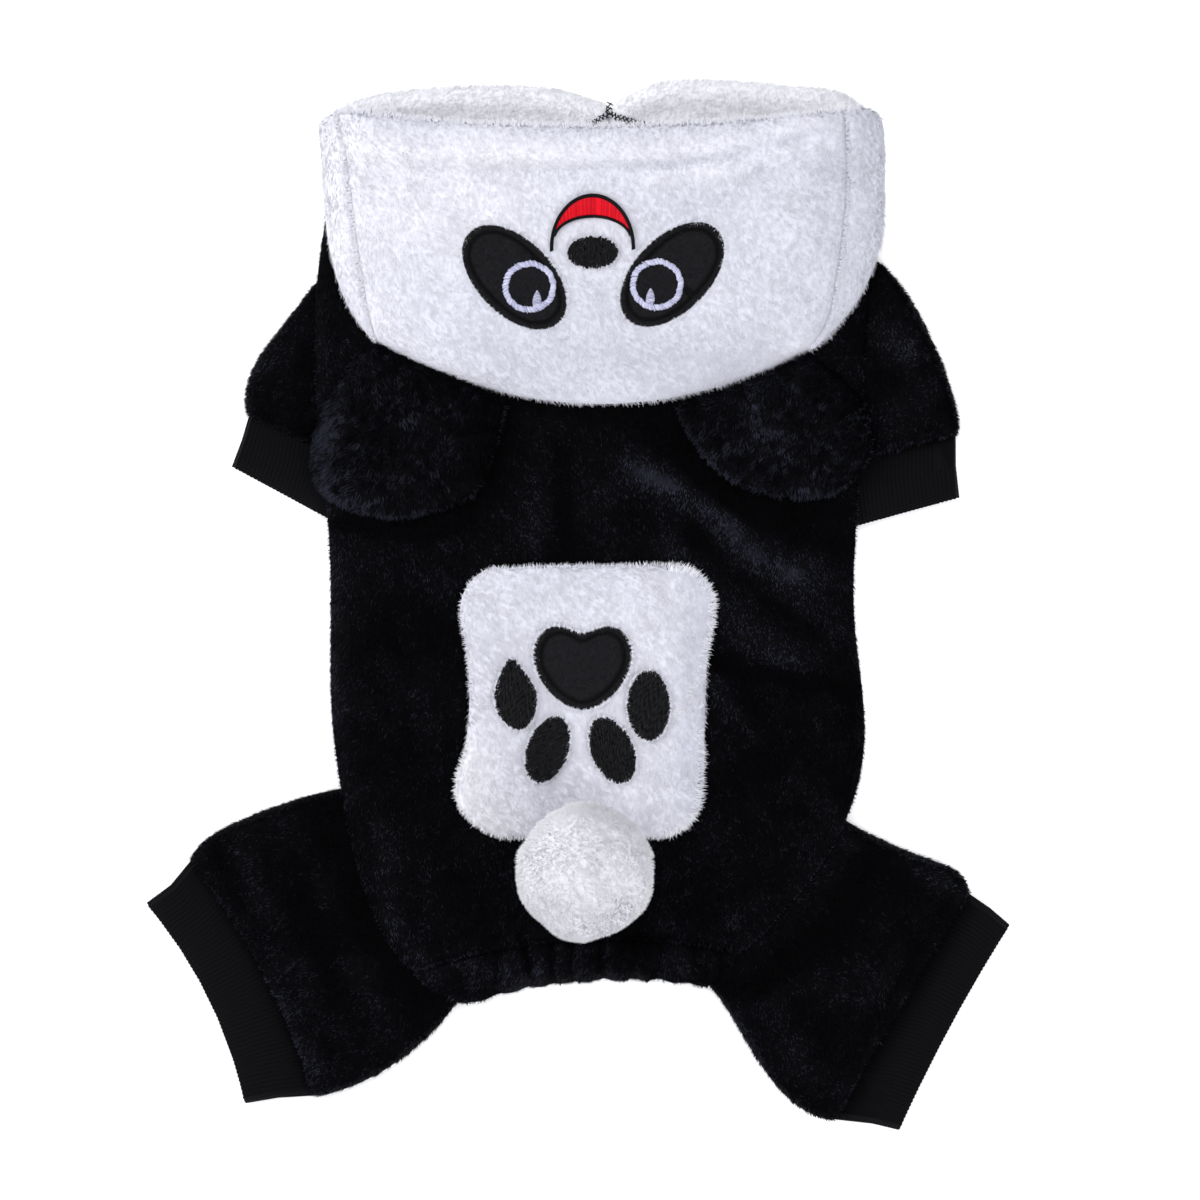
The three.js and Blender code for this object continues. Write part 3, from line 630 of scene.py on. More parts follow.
@dataclass(frozen=True)
class Crease:
    """One soft trough (height down) or ridge (height up) along a line of places on the cloth."""

    path: tuple[Place, ...]
    width: float
    height: float

    def raise_at(self, plan: np.ndarray) -> np.ndarray:
        """Height of the crease at each place, uneven along its line and soft at its ends.

        Args:
            plan: X and Y of each place, in millimetres.

        Returns:
            The heights, in millimetres.
        """
        away = np.full(len(plan), np.inf)
        for start, end in zip(self.path[:-1], self.path[1:]):
            first, way = np.array(start), np.array(end) - np.array(start)
            local = plan - first
            run = np.clip(local @ way / (way @ way), 0, 1)
            away = np.minimum(away, np.hypot(*(local - run[:, None] * way).T))
        uneven = 1 + 0.25 * SoftField(71, 12.0)(plan)
        return self.height * uneven * np.exp(-(away / self.width) ** 2)


def creases(*rows: Sequence[float]) -> tuple[Crease, ...]:
    """Makes creases from a short table.

    Args:
        *rows: Width and height of each crease, and then X and Y of each place on its line.

    Returns:
        One crease for each row.
    """
    return tuple(Crease(tuple(zip(row[2::2], row[3::2])), *row[:2]) for row in rows)


def crease_cloth(obj: Object, folds: Sequence[Crease], above: float) -> None:
    """Raises and lowers a cloth's upper side along its creases.

    Args:
        obj: The cloth.
        folds: The creases.
        above: Height in millimetres over which the creases take full effect.
    """
    points = points_of(obj)
    rise = sum((fold.raise_at(points[:, :2] / MM) for fold in folds), np.zeros(len(points)))
    points[:, 2] += rise * np.clip(points[:, 2] / (above * MM), 0, 1) * MM
    set_points(obj, points)


@dataclass(frozen=True)
class Oval:
    """An oval in plan, tilted by some degrees and narrower at its top by its taper."""

    x: float
    y: float
    half_width: float
    half_height: float
    tilt: float = 0.0
    taper: float = 0.0

    def place(self, points: np.ndarray) -> np.ndarray:
        """Turns and moves places from the oval to the cloth."""
        return turned(*points.T, math.radians(self.tilt)) + (self.x, self.y)

    def holds(self, points: np.ndarray) -> np.ndarray:
        """Says which places lie in the oval.

        Args:
            points: Places from its middle, along its own width and height.

        Returns:
            True for each place inside.
        """
        rise = points[:, 1] / self.half_height
        width = self.half_width * (1 - self.taper * np.clip(rise, 0, 1))
        return (points[:, 0] / width) ** 2 + rise ** 2 <= 1

    def outline(self, grow: float, steps: int = 60) -> np.ndarray:
        """Makes the closed outline.

        Args:
            grow: How far it lies outside the oval, in millimetres.
            steps: Points of the line.

        Returns:
            The line, in millimetres.
        """
        angle = np.linspace(0, TURN, steps + 1)
        x = (self.half_width + grow) * np.cos(angle) * (1 - self.taper * np.clip(np.sin(angle), 0, 1))
        return self.place(np.column_stack([x, (self.half_height + grow) * np.sin(angle)]))


@dataclass(frozen=True)
class Edge:
    """A line along which tufts lean over an edge or a seam."""

    line: np.ndarray
    lean: Lean
    lift: float = 0.0
    per_mm: float = 2.4
    rise: float = 0.55
    length: float = 1.0
    start: float = 0.5
    # Painted light: a lighter tone given to these tufts.
    tone: float = 0.0

    def directions(self, rng: np.random.Generator, along: np.ndarray) -> np.ndarray:
        """Way across the line for each tuft.

        Args:
            rng: The seeded source of random numbers.
            along: Way of the line at each tuft.

        Returns:
            One way in plan for each tuft.
        """
        left = along @ LEFT_TURN
        if self.lean is Lean.BOTH:
            return left * rng.choice((-1.0, 1.0), (len(along), 1))
        return -left * np.sign(np.cross(self.line[:-1], self.line[1:]).sum()) * self.lean.value


def edge_line(obj: Object, across: int, end: int, low: float, high: float,
              steps: int = 40) -> np.ndarray:
    """Line along one edge of a cloth, from its outermost points.

    Args:
        obj: The cloth.
        across: Axis in which the edge is outermost, 0 for X or 1 for Y.
        end: 1 for the upper end of that axis, -1 for the lower.
        low: Where the line starts on the other axis, in millimetres.
        high: Where it ends.
        steps: Points of the line.

    Returns:
        The line, in millimetres.
    """
    plan = plan_of(obj)
    line = []
    for place in np.linspace(low, high, steps):
        near = plan[np.abs(plan[:, 1 - across] - place) < (high - low) / steps]
        if len(near):
            point = near[np.argmax(end * near[:, across])].copy()
            point[1 - across] = place
            line.append(point)
    return np.array(line)


def inset_outline(obj: Object, middle: Place, inset: float, steps: int = 120) -> np.ndarray:
    """Line that follows a flat piece's edge at an even inset.

    Args:
        obj: The piece.
        middle: A point inside it.
        inset: Distance from the edge.
        steps: Points of the line.

    Returns:
        The closed line, in millimetres.
    """
    plan = plan_of(obj) - np.array(middle)
    angle = np.arctan2(plan[:, 1], plan[:, 0])
    reach = np.hypot(*plan.T)
    edges = np.linspace(-math.pi, math.pi, steps + 1)
    outer = np.array([reach[(angle >= a) & (angle <= b)].max(initial=0.0)
                      for a, b in zip(edges[:-1], edges[1:])])
    outer = np.where(outer == 0, np.roll(outer, 1), outer)
    centre = (edges[:-1] + edges[1:]) / 2
    radius = np.convolve(np.tile(outer, 3), np.ones(3) / 3, "same")[steps:2 * steps] - inset
    line = np.column_stack([np.cos(centre) * radius, np.sin(centre) * radius]) + np.array(middle)
    return np.vstack([line, line[:1]])


def fringe_of(obj: Object, top: float = 400.0) -> Edge:
    """Makes the fringe of tips round a plush piece, with painted light on its tips.

    Args:
        obj: The cloth.
        top: Height on the coat up to which the fringe runs, in millimetres.

    Returns:
        The fringe's edge.
    """
    line = inset_outline(obj, tuple(points_of(obj)[:, :2].mean(axis=0) / MM), 0.5, 180)
    return Edge(line[line[:, 1] < top], Lean.OUTWARD, per_mm=2.6, rise=0.3, length=0.8, tone=0.14)


@dataclass(frozen=True)
class Nap:
    """Pile of one plush: how dense, long, fine and combed its tufts are, and their tones."""

    per_mm2: float
    length: float
    width: float
    lean: float
    comb: Place
    swirl: float
    swirl_cell: float = 34.0
    clump: float = 3.2
    gather: float = 0.35
    stray: float = 0.16
    base: float = 0.22
    shade: float = 0.22
    patches: float = 0.16
    soft: float = 0.5
    spark: float = 0.12
    # Painted light: how much lighter the pile's tone is where the cloth faces the key light.
    painted_side_light: float = 0.0
    clump_tone: float = 0.0
    # Gain of the painted light and shade laid along lines of the cloth.
    painted_light_gain: float = 1.0
    least_lift: float = 0.3
    lean_spread: float = 0.10
    lean_drift: float = 0.18
    least_lean: float = 0.05
    most_lean: float = 1.45
    shortest: float = 0.7
    longest: float = 1.2


class Tufts(NamedTuple):
    """Tufts before they are built, one row each, in millimetres."""

    places: np.ndarray
    normals: np.ndarray
    ways: np.ndarray
    pull: np.ndarray
    # Tone added to each tuft: random tone of its clump, and painted light along lit edges.
    lighter: np.ndarray


@dataclass
class Pile:
    """Tufts grown on cloth, as one joined piece of three-sided closed locks."""

    name: str
    nap: Nap
    finish: PlushFinish
    seed: int
    # Painted light and shade laid along lines of the cloth.
    painted_light_and_shade: Sequence[Crease] = ()
    rng: np.random.Generator = field(init=False)

    def grow(self, grounds: Sequence[Object], covers: Sequence[Object] = (),
             keep: Keep | None = None, edges: Sequence[Edge] = ()) -> Object:
        """Grows the pile on the open side of some cloths.

        Args:
            grounds: The cloths that carry it.
            covers: What lies on them, under which no pile is grown.
            keep: Takes places in millimetres and says which may carry a tuft.
            edges: Lines along which tufts lean over an edge or a seam.

        Returns:
            The pile's object.
        """
        self.rng = np.random.default_rng(self.seed)
        for ground in grounds:
            if "pile_shade" not in ground.data.attributes:
                set_attribute(ground, "pile_shade", self._tone(plan_of(ground), normals_of(ground)))
        own = tree_of(grounds)
        places, normals = self._scatter(grounds, keep)
        open_sky = self._open(places, normals, own, covers)
        places, normals = places[open_sky][:MOST_TUFTS], normals[open_sky][:MOST_TUFTS]
        ways = self._combed(places, normals)
        middles = self._clumped(places)
        lighter = self.nap.clump_tone * SoftField(34, CLUMP_CELL * self.nap.clump)(middles[:, :2])
        groups = [Tufts(places, normals, ways, self.nap.gather * (middles - places), lighter)]
        groups += [self._along(edge, own) for edge in edges]
        return self._mesh(Tufts(*map(np.concatenate, zip(*groups))))

    def _tone(self, plan: np.ndarray, normals: np.ndarray) -> np.ndarray:
        """Tone of the nap: random patches, painted light and shade laid along lines, and painted
        light on the side that faces the key light.

        Args:
            plan: X and Y of each place, in millimetres.
            normals: The cloth's normals there.

        Returns:
            One tone for each place, 0 for the shade among the roots and 1 for the lightest.
        """
        tone = self.nap.base + self.nap.painted_side_light * (normals @ np.array(PAINTED_LIGHT_WAY))
        for seed, cell, share in TONE_LAYERS:
            tone += share * self.nap.patches * SoftField(seed, cell)(plan)
        for band in self.painted_light_and_shade:
            tone += self.nap.painted_light_gain * band.raise_at(plan)
        return tone

    def _scatter(self, grounds: Sequence[Object], keep: Keep | None
                 ) -> tuple[np.ndarray, np.ndarray]:
        """Scatters roots over the faces that look up or sideways.

        Args:
            grounds: The cloths.
            keep: Which places may carry a tuft.

        Returns:
            Places and normals, in millimetres.
        """
        corners, facing = [], []
        for ground in grounds:
            mesh = ground.data
            mesh.calc_loop_triangles()
            index = np.zeros(len(mesh.loop_triangles) * 3, int)
            mesh.loop_triangles.foreach_get("vertices", index)
            index = index.reshape(-1, 3)
            corners.append(points_of(ground)[index] / MM)
            facing.append(normals_of(ground)[index])
        corner = np.concatenate(corners)
        cross = np.cross(corner[:, 1] - corner[:, 0], corner[:, 2] - corner[:, 0])
        area = np.linalg.norm(cross, axis=1) / 2
        allowed = cross[:, 2] / np.maximum(2 * area, LEAST) > LOWEST_FACING
        if keep is not None:
            allowed &= keep(corner.mean(axis=1))
        weight = np.where(allowed, area, 0)
        wanted = int(self.nap.per_mm2 * weight.sum())
        picked = self.rng.choice(len(weight), size=wanted, p=weight / weight.sum())
        split = self.rng.random((wanted, 2))
        over = split.sum(axis=1) > 1
        split[over] = 1 - split[over]
        share = np.column_stack([1 - split.sum(axis=1), split])
        place, up = (np.einsum("nk,nkd->nd", share, values[picked])
                     for values in (corner, np.concatenate(facing)))
        return place, unit(up)

    @staticmethod
    def _open(places: np.ndarray, normals: np.ndarray, own: BVHTree,
              covers: Sequence[Object]) -> np.ndarray:
        """Says which roots lie on an outer side with nothing on them.

        Args:
            places: Roots in millimetres.
            normals: Their normals.
            own: The cloths that carry them, whose own hollows are left out.
            covers: What lies on the cloths.

        Returns:
            True for each root that is open.
        """
        lid = tree_of(covers) if covers else None
        found = np.ones(len(places), bool)
        up = Vector((0, 0, 1))
        for at, (place, normal) in enumerate(zip(places * MM, normals)):
            start = Vector(place) + Vector(normal) * (ROOT_START * MM)
            way = Vector(normal) + up * (2 * max(normal[2], 0))
            if own.ray_cast(start, way.normalized(), HOLLOW * MM)[0] is not None:
                found[at] = False
            elif lid and lid.ray_cast(start, up, COVER_HEIGHT * MM)[0] is not None:
                found[at] = False
        return found

    def _combed(self, places: np.ndarray, normals: np.ndarray) -> np.ndarray:
        """Way of each tuft: the comb's way, slowly turned, laid on the cloth and lifted.

        Args:
            places: Roots in millimetres.
            normals: Their normals.

        Returns:
            One direction for each tuft.
        """
        nap, plan = self.nap, places[:, :2]
        turn = nap.swirl * SoftField(11, nap.swirl_cell)(plan)
        turn += 0.4 * nap.swirl * SoftField(12, nap.swirl_cell / 4)(plan)
        turn += self.rng.normal(0, nap.stray, len(places))
        angle = math.atan2(nap.comb[1], nap.comb[0]) + turn
        comb = np.column_stack([np.cos(angle), np.sin(angle), np.zeros(len(places))])
        lean = nap.lean + self.rng.normal(0, nap.lean_spread, len(places))
        lean += nap.lean_drift * SoftField(13, nap.swirl_cell / 3)(plan)
        lean = np.clip(lean, nap.least_lean, nap.most_lean)[:, None]
        return unit(square_to(comb, normals)) * np.sin(lean) + normals * np.cos(lean)

    def _clumped(self, places: np.ndarray) -> np.ndarray:
        """Middle of the clump that each tuft leans to.

        Args:
            places: Roots in millimetres.

        Returns:
            One place for each tuft.
        """
        count = max(4, int(len(places) / (self.nap.per_mm2 * self.nap.clump ** 2)))
        middles = places[self.rng.choice(len(places), size=count, replace=False)]
        tree = KDTree(count)
        for number, middle in enumerate(middles):
            tree.insert(middle, number)
        tree.balance()
        return np.array([tree.find(place)[0] for place in places])

    def _along(self, edge: Edge, ground: BVHTree) -> Tufts:
        """Tufts along a line that lean over it.

        Args:
            edge: The line and its lean.
            ground: The cloths that carry the pile.

        Returns:
            The tufts.
        """
        route = Route(edge.line)
        at = self.rng.uniform(0, route.reach[-1], int(route.reach[-1] * edge.per_mm))
        number = np.clip(np.searchsorted(route.reach, at, side="right") - 1, 0,
                         len(route.steps) - 1)
        joined = route.lengths[number] < LONGEST_STEP
        plan, number = route.at(at)[joined], number[joined]
        along = (route.steps / route.lengths[:, None])[number]
        over = edge.directions(self.rng, along)
        one_each = (len(plan), 1)
        plan -= over * edge.start * self.rng.uniform(0.2, 1.8, one_each)
        ways = np.column_stack([0.85 * over, self.rng.normal(edge.rise, 0.1, len(plan))])
        ways[:, :2] += along * self.rng.normal(0, 0.35, one_each)
        sides = (plan, plan + over, plan - over) if edge.lean is Lean.BOTH else (plan,)
        heights = np.max([[surface_height(ground, *place) for place in side] for side in sides],
                         axis=0) + edge.lift
        return Tufts(np.column_stack([plan, heights]), np.tile([0.0, 0.0, 1.0], one_each),
                     unit(ways) * edge.length, np.zeros((len(plan), 3)),
                     np.full(len(plan), edge.tone))

    def _mesh(self, tufts: Tufts) -> Object:
        """Builds the locks and finishes them as a piece.

        Args:
            tufts: The tufts.

        Returns:
            The pile's object.
        """
        places, normals, ways, pull, lighter = tufts
        nap, count, plan = self.nap, len(places), places[:, :2]
        length = nap.length * self.rng.uniform(nap.shortest, nap.longest, count)
        length *= 1 + 0.15 * SoftField(self.seed + 23, 9.0)(plan)
        across = unit(np.cross(ways, normals))
        ahead = np.cross(normals, across)
        spin = self.rng.uniform(0, TURN, count)
        corners = np.zeros((count, 4, 3))
        for corner in range(3):
            angle = (spin + corner * TURN / 3)[:, None]
            out = np.cos(angle) * across + np.sin(angle) * ahead
            corners[:, corner] = places - normals * ROOT_DEPTH + 0.5 * nap.width * out
        corners[:, 3] = places + ways * length[:, None] + pull
        corners[..., 2] = np.maximum(corners[..., 2], FLOOR_GAP)
        shade = self._tone(plan, normals) + nap.shade * self.rng.random(count) + lighter
        faces = np.array([[0, 1, 3], [1, 2, 3], [2, 0, 3], [0, 2, 1]])
        obj = locks_object(self.name, corners, faces, self.finish.pile())
        set_attribute(obj, "pile_tip", np.tile([0.0, 0.0, 0.0, 1.0], count))
        set_attribute(obj, "pile_shade", np.repeat(np.clip(shade, 0, 1), 4))
        lit = np.repeat(self._shading(normals, unit(ways)), 4, axis=0)
        obj.data.normals_split_custom_set_from_vertices(lit.tolist())
        return finish_piece(obj, self.finish.slot)

    def _shading(self, normals: np.ndarray, ways: np.ndarray) -> np.ndarray:
        """Normals that light the tufts as fibres: square to the fibre, softened by the ground's.

        Args:
            normals: The ground's normals.
            ways: The tufts' directions.

        Returns:
            One normal for each tuft.
        """
        square = unit(square_to(normals, ways))
        mixed = self.nap.soft * normals + (1 - self.nap.soft) * square
        mixed += self.rng.normal(0, self.nap.spark, normals.shape)
        mixed[:, 2] = np.maximum(mixed[:, 2], self.nap.least_lift)
        return unit(mixed)


def locks_object(name: str, corners: np.ndarray, faces: np.ndarray, material: Material) -> Object:
    """Joins many equal small bodies into one smooth object.

    Args:
        name: The object's name.
        corners: Points of each body, in millimetres.
        faces: Triangles of one body, turned outwards.
        material: Their material.

    Returns:
        The object, in the scene.
    """
    count, size, _ = corners.shape
    triangles = faces[None] + (np.arange(count) * size)[:, None, None]
    starts = np.arange(count * len(faces)) * 3
    mesh = bpy.data.meshes.new(name)
    mesh.vertices.add(count * size)
    mesh.vertices.foreach_set("co", (corners * MM).ravel())
    mesh.loops.add(triangles.size)
    mesh.loops.foreach_set("vertex_index", triangles.ravel())
    mesh.polygons.add(len(starts))
    mesh.polygons.foreach_set("loop_start", starts)
    mesh.update(calc_edges=True)
    mesh.polygons.foreach_set("use_smooth", np.ones(len(starts), bool))
    mesh.materials.append(material)
    obj = bpy.data.objects.new(name, mesh)
    bpy.context.scene.collection.objects.link(obj)
    return obj


@dataclass
class Embroidery:
    """Stitches sewn on some cloths, as one joined piece of round threads."""

    name: str
    cloths: Sequence[Object]
    radius: float
    thread: ThreadFinish
    seed: int
    stitches: list[tuple[np.ndarray, np.ndarray, float]] = field(default_factory=list)

    SIDES: ClassVar[int] = 5
    # Share of the way along a stitch, and height there in radii of the thread.
    STATIONS: ClassVar[tuple[Place, ...]] = (
        (0.0, -0.9), (0.12, 0.55), (0.5, 1.0), (0.88, 0.55), (1.0, -0.9))
    SEAM_STITCH: ClassVar[Place] = (2.2, 0.3)
    # Least and most that a filling stitch's ends move, that it lies high, and of its length.
    JOG: ClassVar[float] = 0.07
    RAGGED: ClassVar[Place] = (-0.1, 0.7)
    LIES: ClassVar[Place] = (-0.25, 0.2)
    STEPS: ClassVar[Place] = (0.8, 1.05)

    def stitch(self, start: Sequence[float], end: Sequence[float], lift: float = 0.0) -> None:
        """Adds one stitch from place to place, raised by lift."""
        self.stitches.append((np.array(start), np.array(end), lift))

    def line(self, points: np.ndarray) -> None:
        """Adds a running stitch.

        Args:
            points: The line that it follows, in millimetres.
        """
        length, gap = self.SEAM_STITCH
        route = Route(points)
        at = 0.0
        while at + length <= route.reach[-1]:
            self.stitch(*route.at([at, at + length]))
            at += length + gap

    def fill(self, oval: Oval, pitch: float, length: float, slant: float) -> None:
        """Fills an oval with rows of stitches.

        Args:
            oval: The oval.
            pitch: Space between rows.
            length: Length of one stitch.
            slant: Way of the stitches inside the oval, in degrees.
        """
        rng = np.random.default_rng(self.seed + 77)
        reach = max(oval.half_width, oval.half_height) * 1.05
        shares = np.linspace(0, 1, 15)[:, None]
        for row in np.arange(-reach, reach, pitch):
            at = -reach - rng.uniform(0, length)
            while at < reach:
                a, b = (turned(run, row, math.radians(slant)) for run in (at, at + length))
                points = a + (b - a) * shares
                inside = np.flatnonzero(oval.holds(points))
                if len(inside) > 2:
                    first, last = oval.place(points[inside[[0, -1]]])
                    ahead = unit(last - first)
                    first += rng.normal(0, self.JOG, 2) - ahead * rng.uniform(*self.RAGGED)
                    last += rng.normal(0, self.JOG, 2) + ahead * rng.uniform(*self.RAGGED)
                    self.stitch(first, last, max(0, rng.uniform(*self.LIES)))
                at += length * rng.uniform(*self.STEPS)

    def sew(self, rise: float = 0.0) -> Object:
        """Builds the threads and finishes them as a piece.

        Args:
            rise: How far the whole work stands above its cloths.

        Returns:
            The embroidery's object.
        """
        ground = tree_of(self.cloths)
        count, rings = len(self.stitches), len(self.STATIONS)
        angle = np.arange(self.SIDES) * TURN / self.SIDES
        corners = np.zeros((count, rings, self.SIDES, 3))
        for at, (start, end, lift) in enumerate(self.stitches):
            side = unit(end - start) @ LEFT_TURN
            for ring, (share, height) in enumerate(self.STATIONS):
                place = start + (end - start) * share
                foot = surface_height(ground, *place) + height * self.radius + lift + rise
                out = self.radius * np.cos(angle)[:, None]
                corners[at, ring, :, :2] = place + side * out
                corners[at, ring, :, 2] = foot + self.radius * np.sin(angle)
        corners = corners.reshape(count, rings * self.SIDES, 3)
        obj = locks_object(self.name, corners, self._faces(), self.thread.material())
        tones = np.random.default_rng(self.seed).random(count)
        set_attribute(obj, "pile_shade", np.repeat(tones, rings * self.SIDES))
        return finish_piece(obj, Slot.BLACK_FELT)

    def _faces(self) -> np.ndarray:
        """Joins the rings of one thread and closes its ends.

        Returns:
            Its triangles.
        """
        sides, last = self.SIDES, (len(self.STATIONS) - 1) * self.SIDES
        faces = []
        for start in range(0, last, sides):
            for turn in range(sides):
                a, b = start + turn, start + (turn + 1) % sides
                faces += [[a, b, a + sides], [b, b + sides, a + sides]]
        for turn in range(1, sides - 1):
            faces += [[0, turn + 1, turn], [last, last + turn, last + turn + 1]]
        return np.array(faces)


def felt_piece(node: str) -> Object:
    """Makes a flat felt piece on its solid's form, sunk along its stitch line.

    Args:
        node: The solid's name.

    Returns:
        The felt.
    """
    piece = cloth_shell(node, 3)
    line = inset_outline(piece, middle_of(node), STITCH_INSET)
    seam = Crease(tuple(map(tuple, line)), *FELT_GROOVE)
    points = points_of(piece)
    sunk = seam.raise_at(points[:, :2] / MM)
    points[:, 2] += sunk * MM
    set_points(piece, points)
    # The groove's depth is kept for the felt's painted shade.
    set_attribute(piece, "painted_seam_shade", np.clip(sunk / seam.height, 0, 1))
    piece.data.materials.append(FELT.material())
    finish_piece(piece, Slot.BLACK_FELT, node)
    declare_sheet(piece)
    return piece


BLACK_NAP = Nap(per_mm2=1.6, length=1.7, width=0.6, lean=1.05, comb=(0.15, -1.0), swirl=0.6,
                clump=1.9, gather=0.25, stray=0.4, base=0.01, shade=0.46, patches=0.11, soft=0.35,
                spark=0.25, painted_side_light=0.3, clump_tone=0.18, painted_light_gain=1.2)


@dataclass
class Body:
    """Back panel, rear casing and belly panels."""

    finish: PlushFinish = BLACK_PLUSH
    panels: tuple[tuple[str, int, float], ...] = (
        ("back_panel", 2, SEAM_SWELL),
        ("hem_casing", 2, HEM_SWELL),
        ("belly_left", 1, SEAM_SWELL),
        ("belly_right", 1, SEAM_SWELL),
    )
    # Painted light and shade of the back, as width, strength, then X and Y along each line: lighter
    # on the folds' ridges and rolled edges, darker in the troughs and beside raised parts.
    painted_light_and_shade: tuple[Crease, ...] = creases(
        (6, 0.34, 19, 52, 47, 40, 66, 22, 80, 13),
        (6, 0.24, 33, 22, 55, -3, 80, -20),
        (9, 0.14, 88, 12, 96, -8),
        (4, 0.24, 50, -28, 66, -48),
        (5, 0.14, -73, -20, -56, -45),
        (8, 0.1, -17, 36, -16, 20),
        (6, 0.12, 8, 44, 10, 30),
        (5, 0.1, -96, 40, -92, -40),
        (4, 0.22, -74, -82, -70, -117, -54, -139),
        (5, 0.2, -43, -133, -19, -141),
        (4, 0.2, 104, -86, 88, -117, 56, -143),
        (5, 0.18, 32, -117, 40, -137),
        (5, -0.2, 50, 50, 70, 33, 96, 22),
        (4, -0.18, 44, 27, 64, 8, 89, -12),
        (3, -0.36, 50, -20, 77, -27, 104, -31),
        (5, -0.2, -6, 55, -3, 19),
        (4, -0.28, -29, 77, -33, 51, -44, 32),
        (4, -0.24, -89, 30, -52, 28),
        (4, -0.26, 46, 45, 68, 35, 98, 37),
        (4, -0.24, 35, 75, 42, 51),
        (4, -0.22, -25, 79, 8, 72, 38, 78),
        (8, -0.12, -60, 0, -52, -14),
        (14, -0.12, 70, -58, 86, -58),
    )
    folds: tuple[Crease, ...] = creases(
        (7, 1.6, 23.4, 61.9, 45, 40, 68.4, 16.9),
        (6, -1.8, 45.9, 31.9, 62, 12, 79.7, -1.9),
        (3.5, -1.6, 50.8, -16.9, 70.7, -26.2, 104.4, -31.9),
        (4, 1.2, 50.8, -30, 65.1, -46.5),
        (5, -1.2, -3.6, 38.6, -3.6, 15.4),
        (6, -1.2, -72, -6, -60, -24),
        (8, 1.0, -86, 40, -60, 20),
        (7, 1.0, 60, -70, 84, -82),
        (7, 1.0, -78, -70, -52, -92),
    )
    # Top and foot along X, width and height of each pucker of the casing.
    gathers: tuple[tuple[float, float, float, float], ...] = (
        (-29.1, -29, 1.8, -1.6),
        (-20.8, -13, 2.0, -2.4),
        (-8.8, -8.5, 1.6, -1.5),
        (-1.3, -1.3, 1.8, -1.6),
        (9.9, 10, 2.0, -1.5),
        (22.3, 21.5, 1.8, -1.5),
        (33.6, 27.2, 2.2, -2.4),
        (44, 47, 2.2, -1.5),
        (53.8, 58, 2.4, -1.6),
        (-40, -43, 2.4, -1.4),
    )
    gather_foot: float = -151.0
    gather_top: float = -122.0
    cuts: tuple[float, ...] = (-400, -52, 28, 400)
    cloths: dict[str, Object] = field(default_factory=dict)

    def build(self) -> None:
        """Makes the cloths."""
        for node, levels, swell in self.panels:
            self.cloths[node] = sewn_cloth(node, self.finish, levels, swell)
        puckers = tuple(Crease(((foot, self.gather_foot), (top, self.gather_top)), width, depth)
                        for top, foot, width, depth in self.gathers)
        crease_cloth(self.cloths["back_panel"], self.folds + puckers, 6)
        crease_cloth(self.cloths["hem_casing"], puckers, 4)
        declare_sheet(self.cloths["back_panel"])
        declare_sheet(self.cloths["hem_casing"])
        for side in ("left", "right"):
            declare_sheet(self.cloths[f"belly_{side}"])

    def upper(self) -> list[Object]:
        """The cloths that show."""
        return [self.cloths["back_panel"], self.cloths["hem_casing"]]

    def dress(self, covers: Sequence[Object]) -> None:
        """Grows the pile in strips across the coat.

        Args:
            covers: What lies on the back.
        """
        back, casing = self.upper()
        seam = Edge(edge_line(casing, 1, 1, -66, 68, 60), Lean.BOTH, lift=0.3, per_mm=5.0)
        edges = {1: [seam], 3: [fringe_of(back, 100)]}
        for number, cut in enumerate(zip(self.cuts[:-1], self.cuts[1:]), start=1):
            pile = Pile(f"back_pile_{number}", BLACK_NAP, self.finish, 100 + number, self.painted_light_and_shade)
            pile.grow([back, casing], covers, between(*cut), edges.get(number, ()))


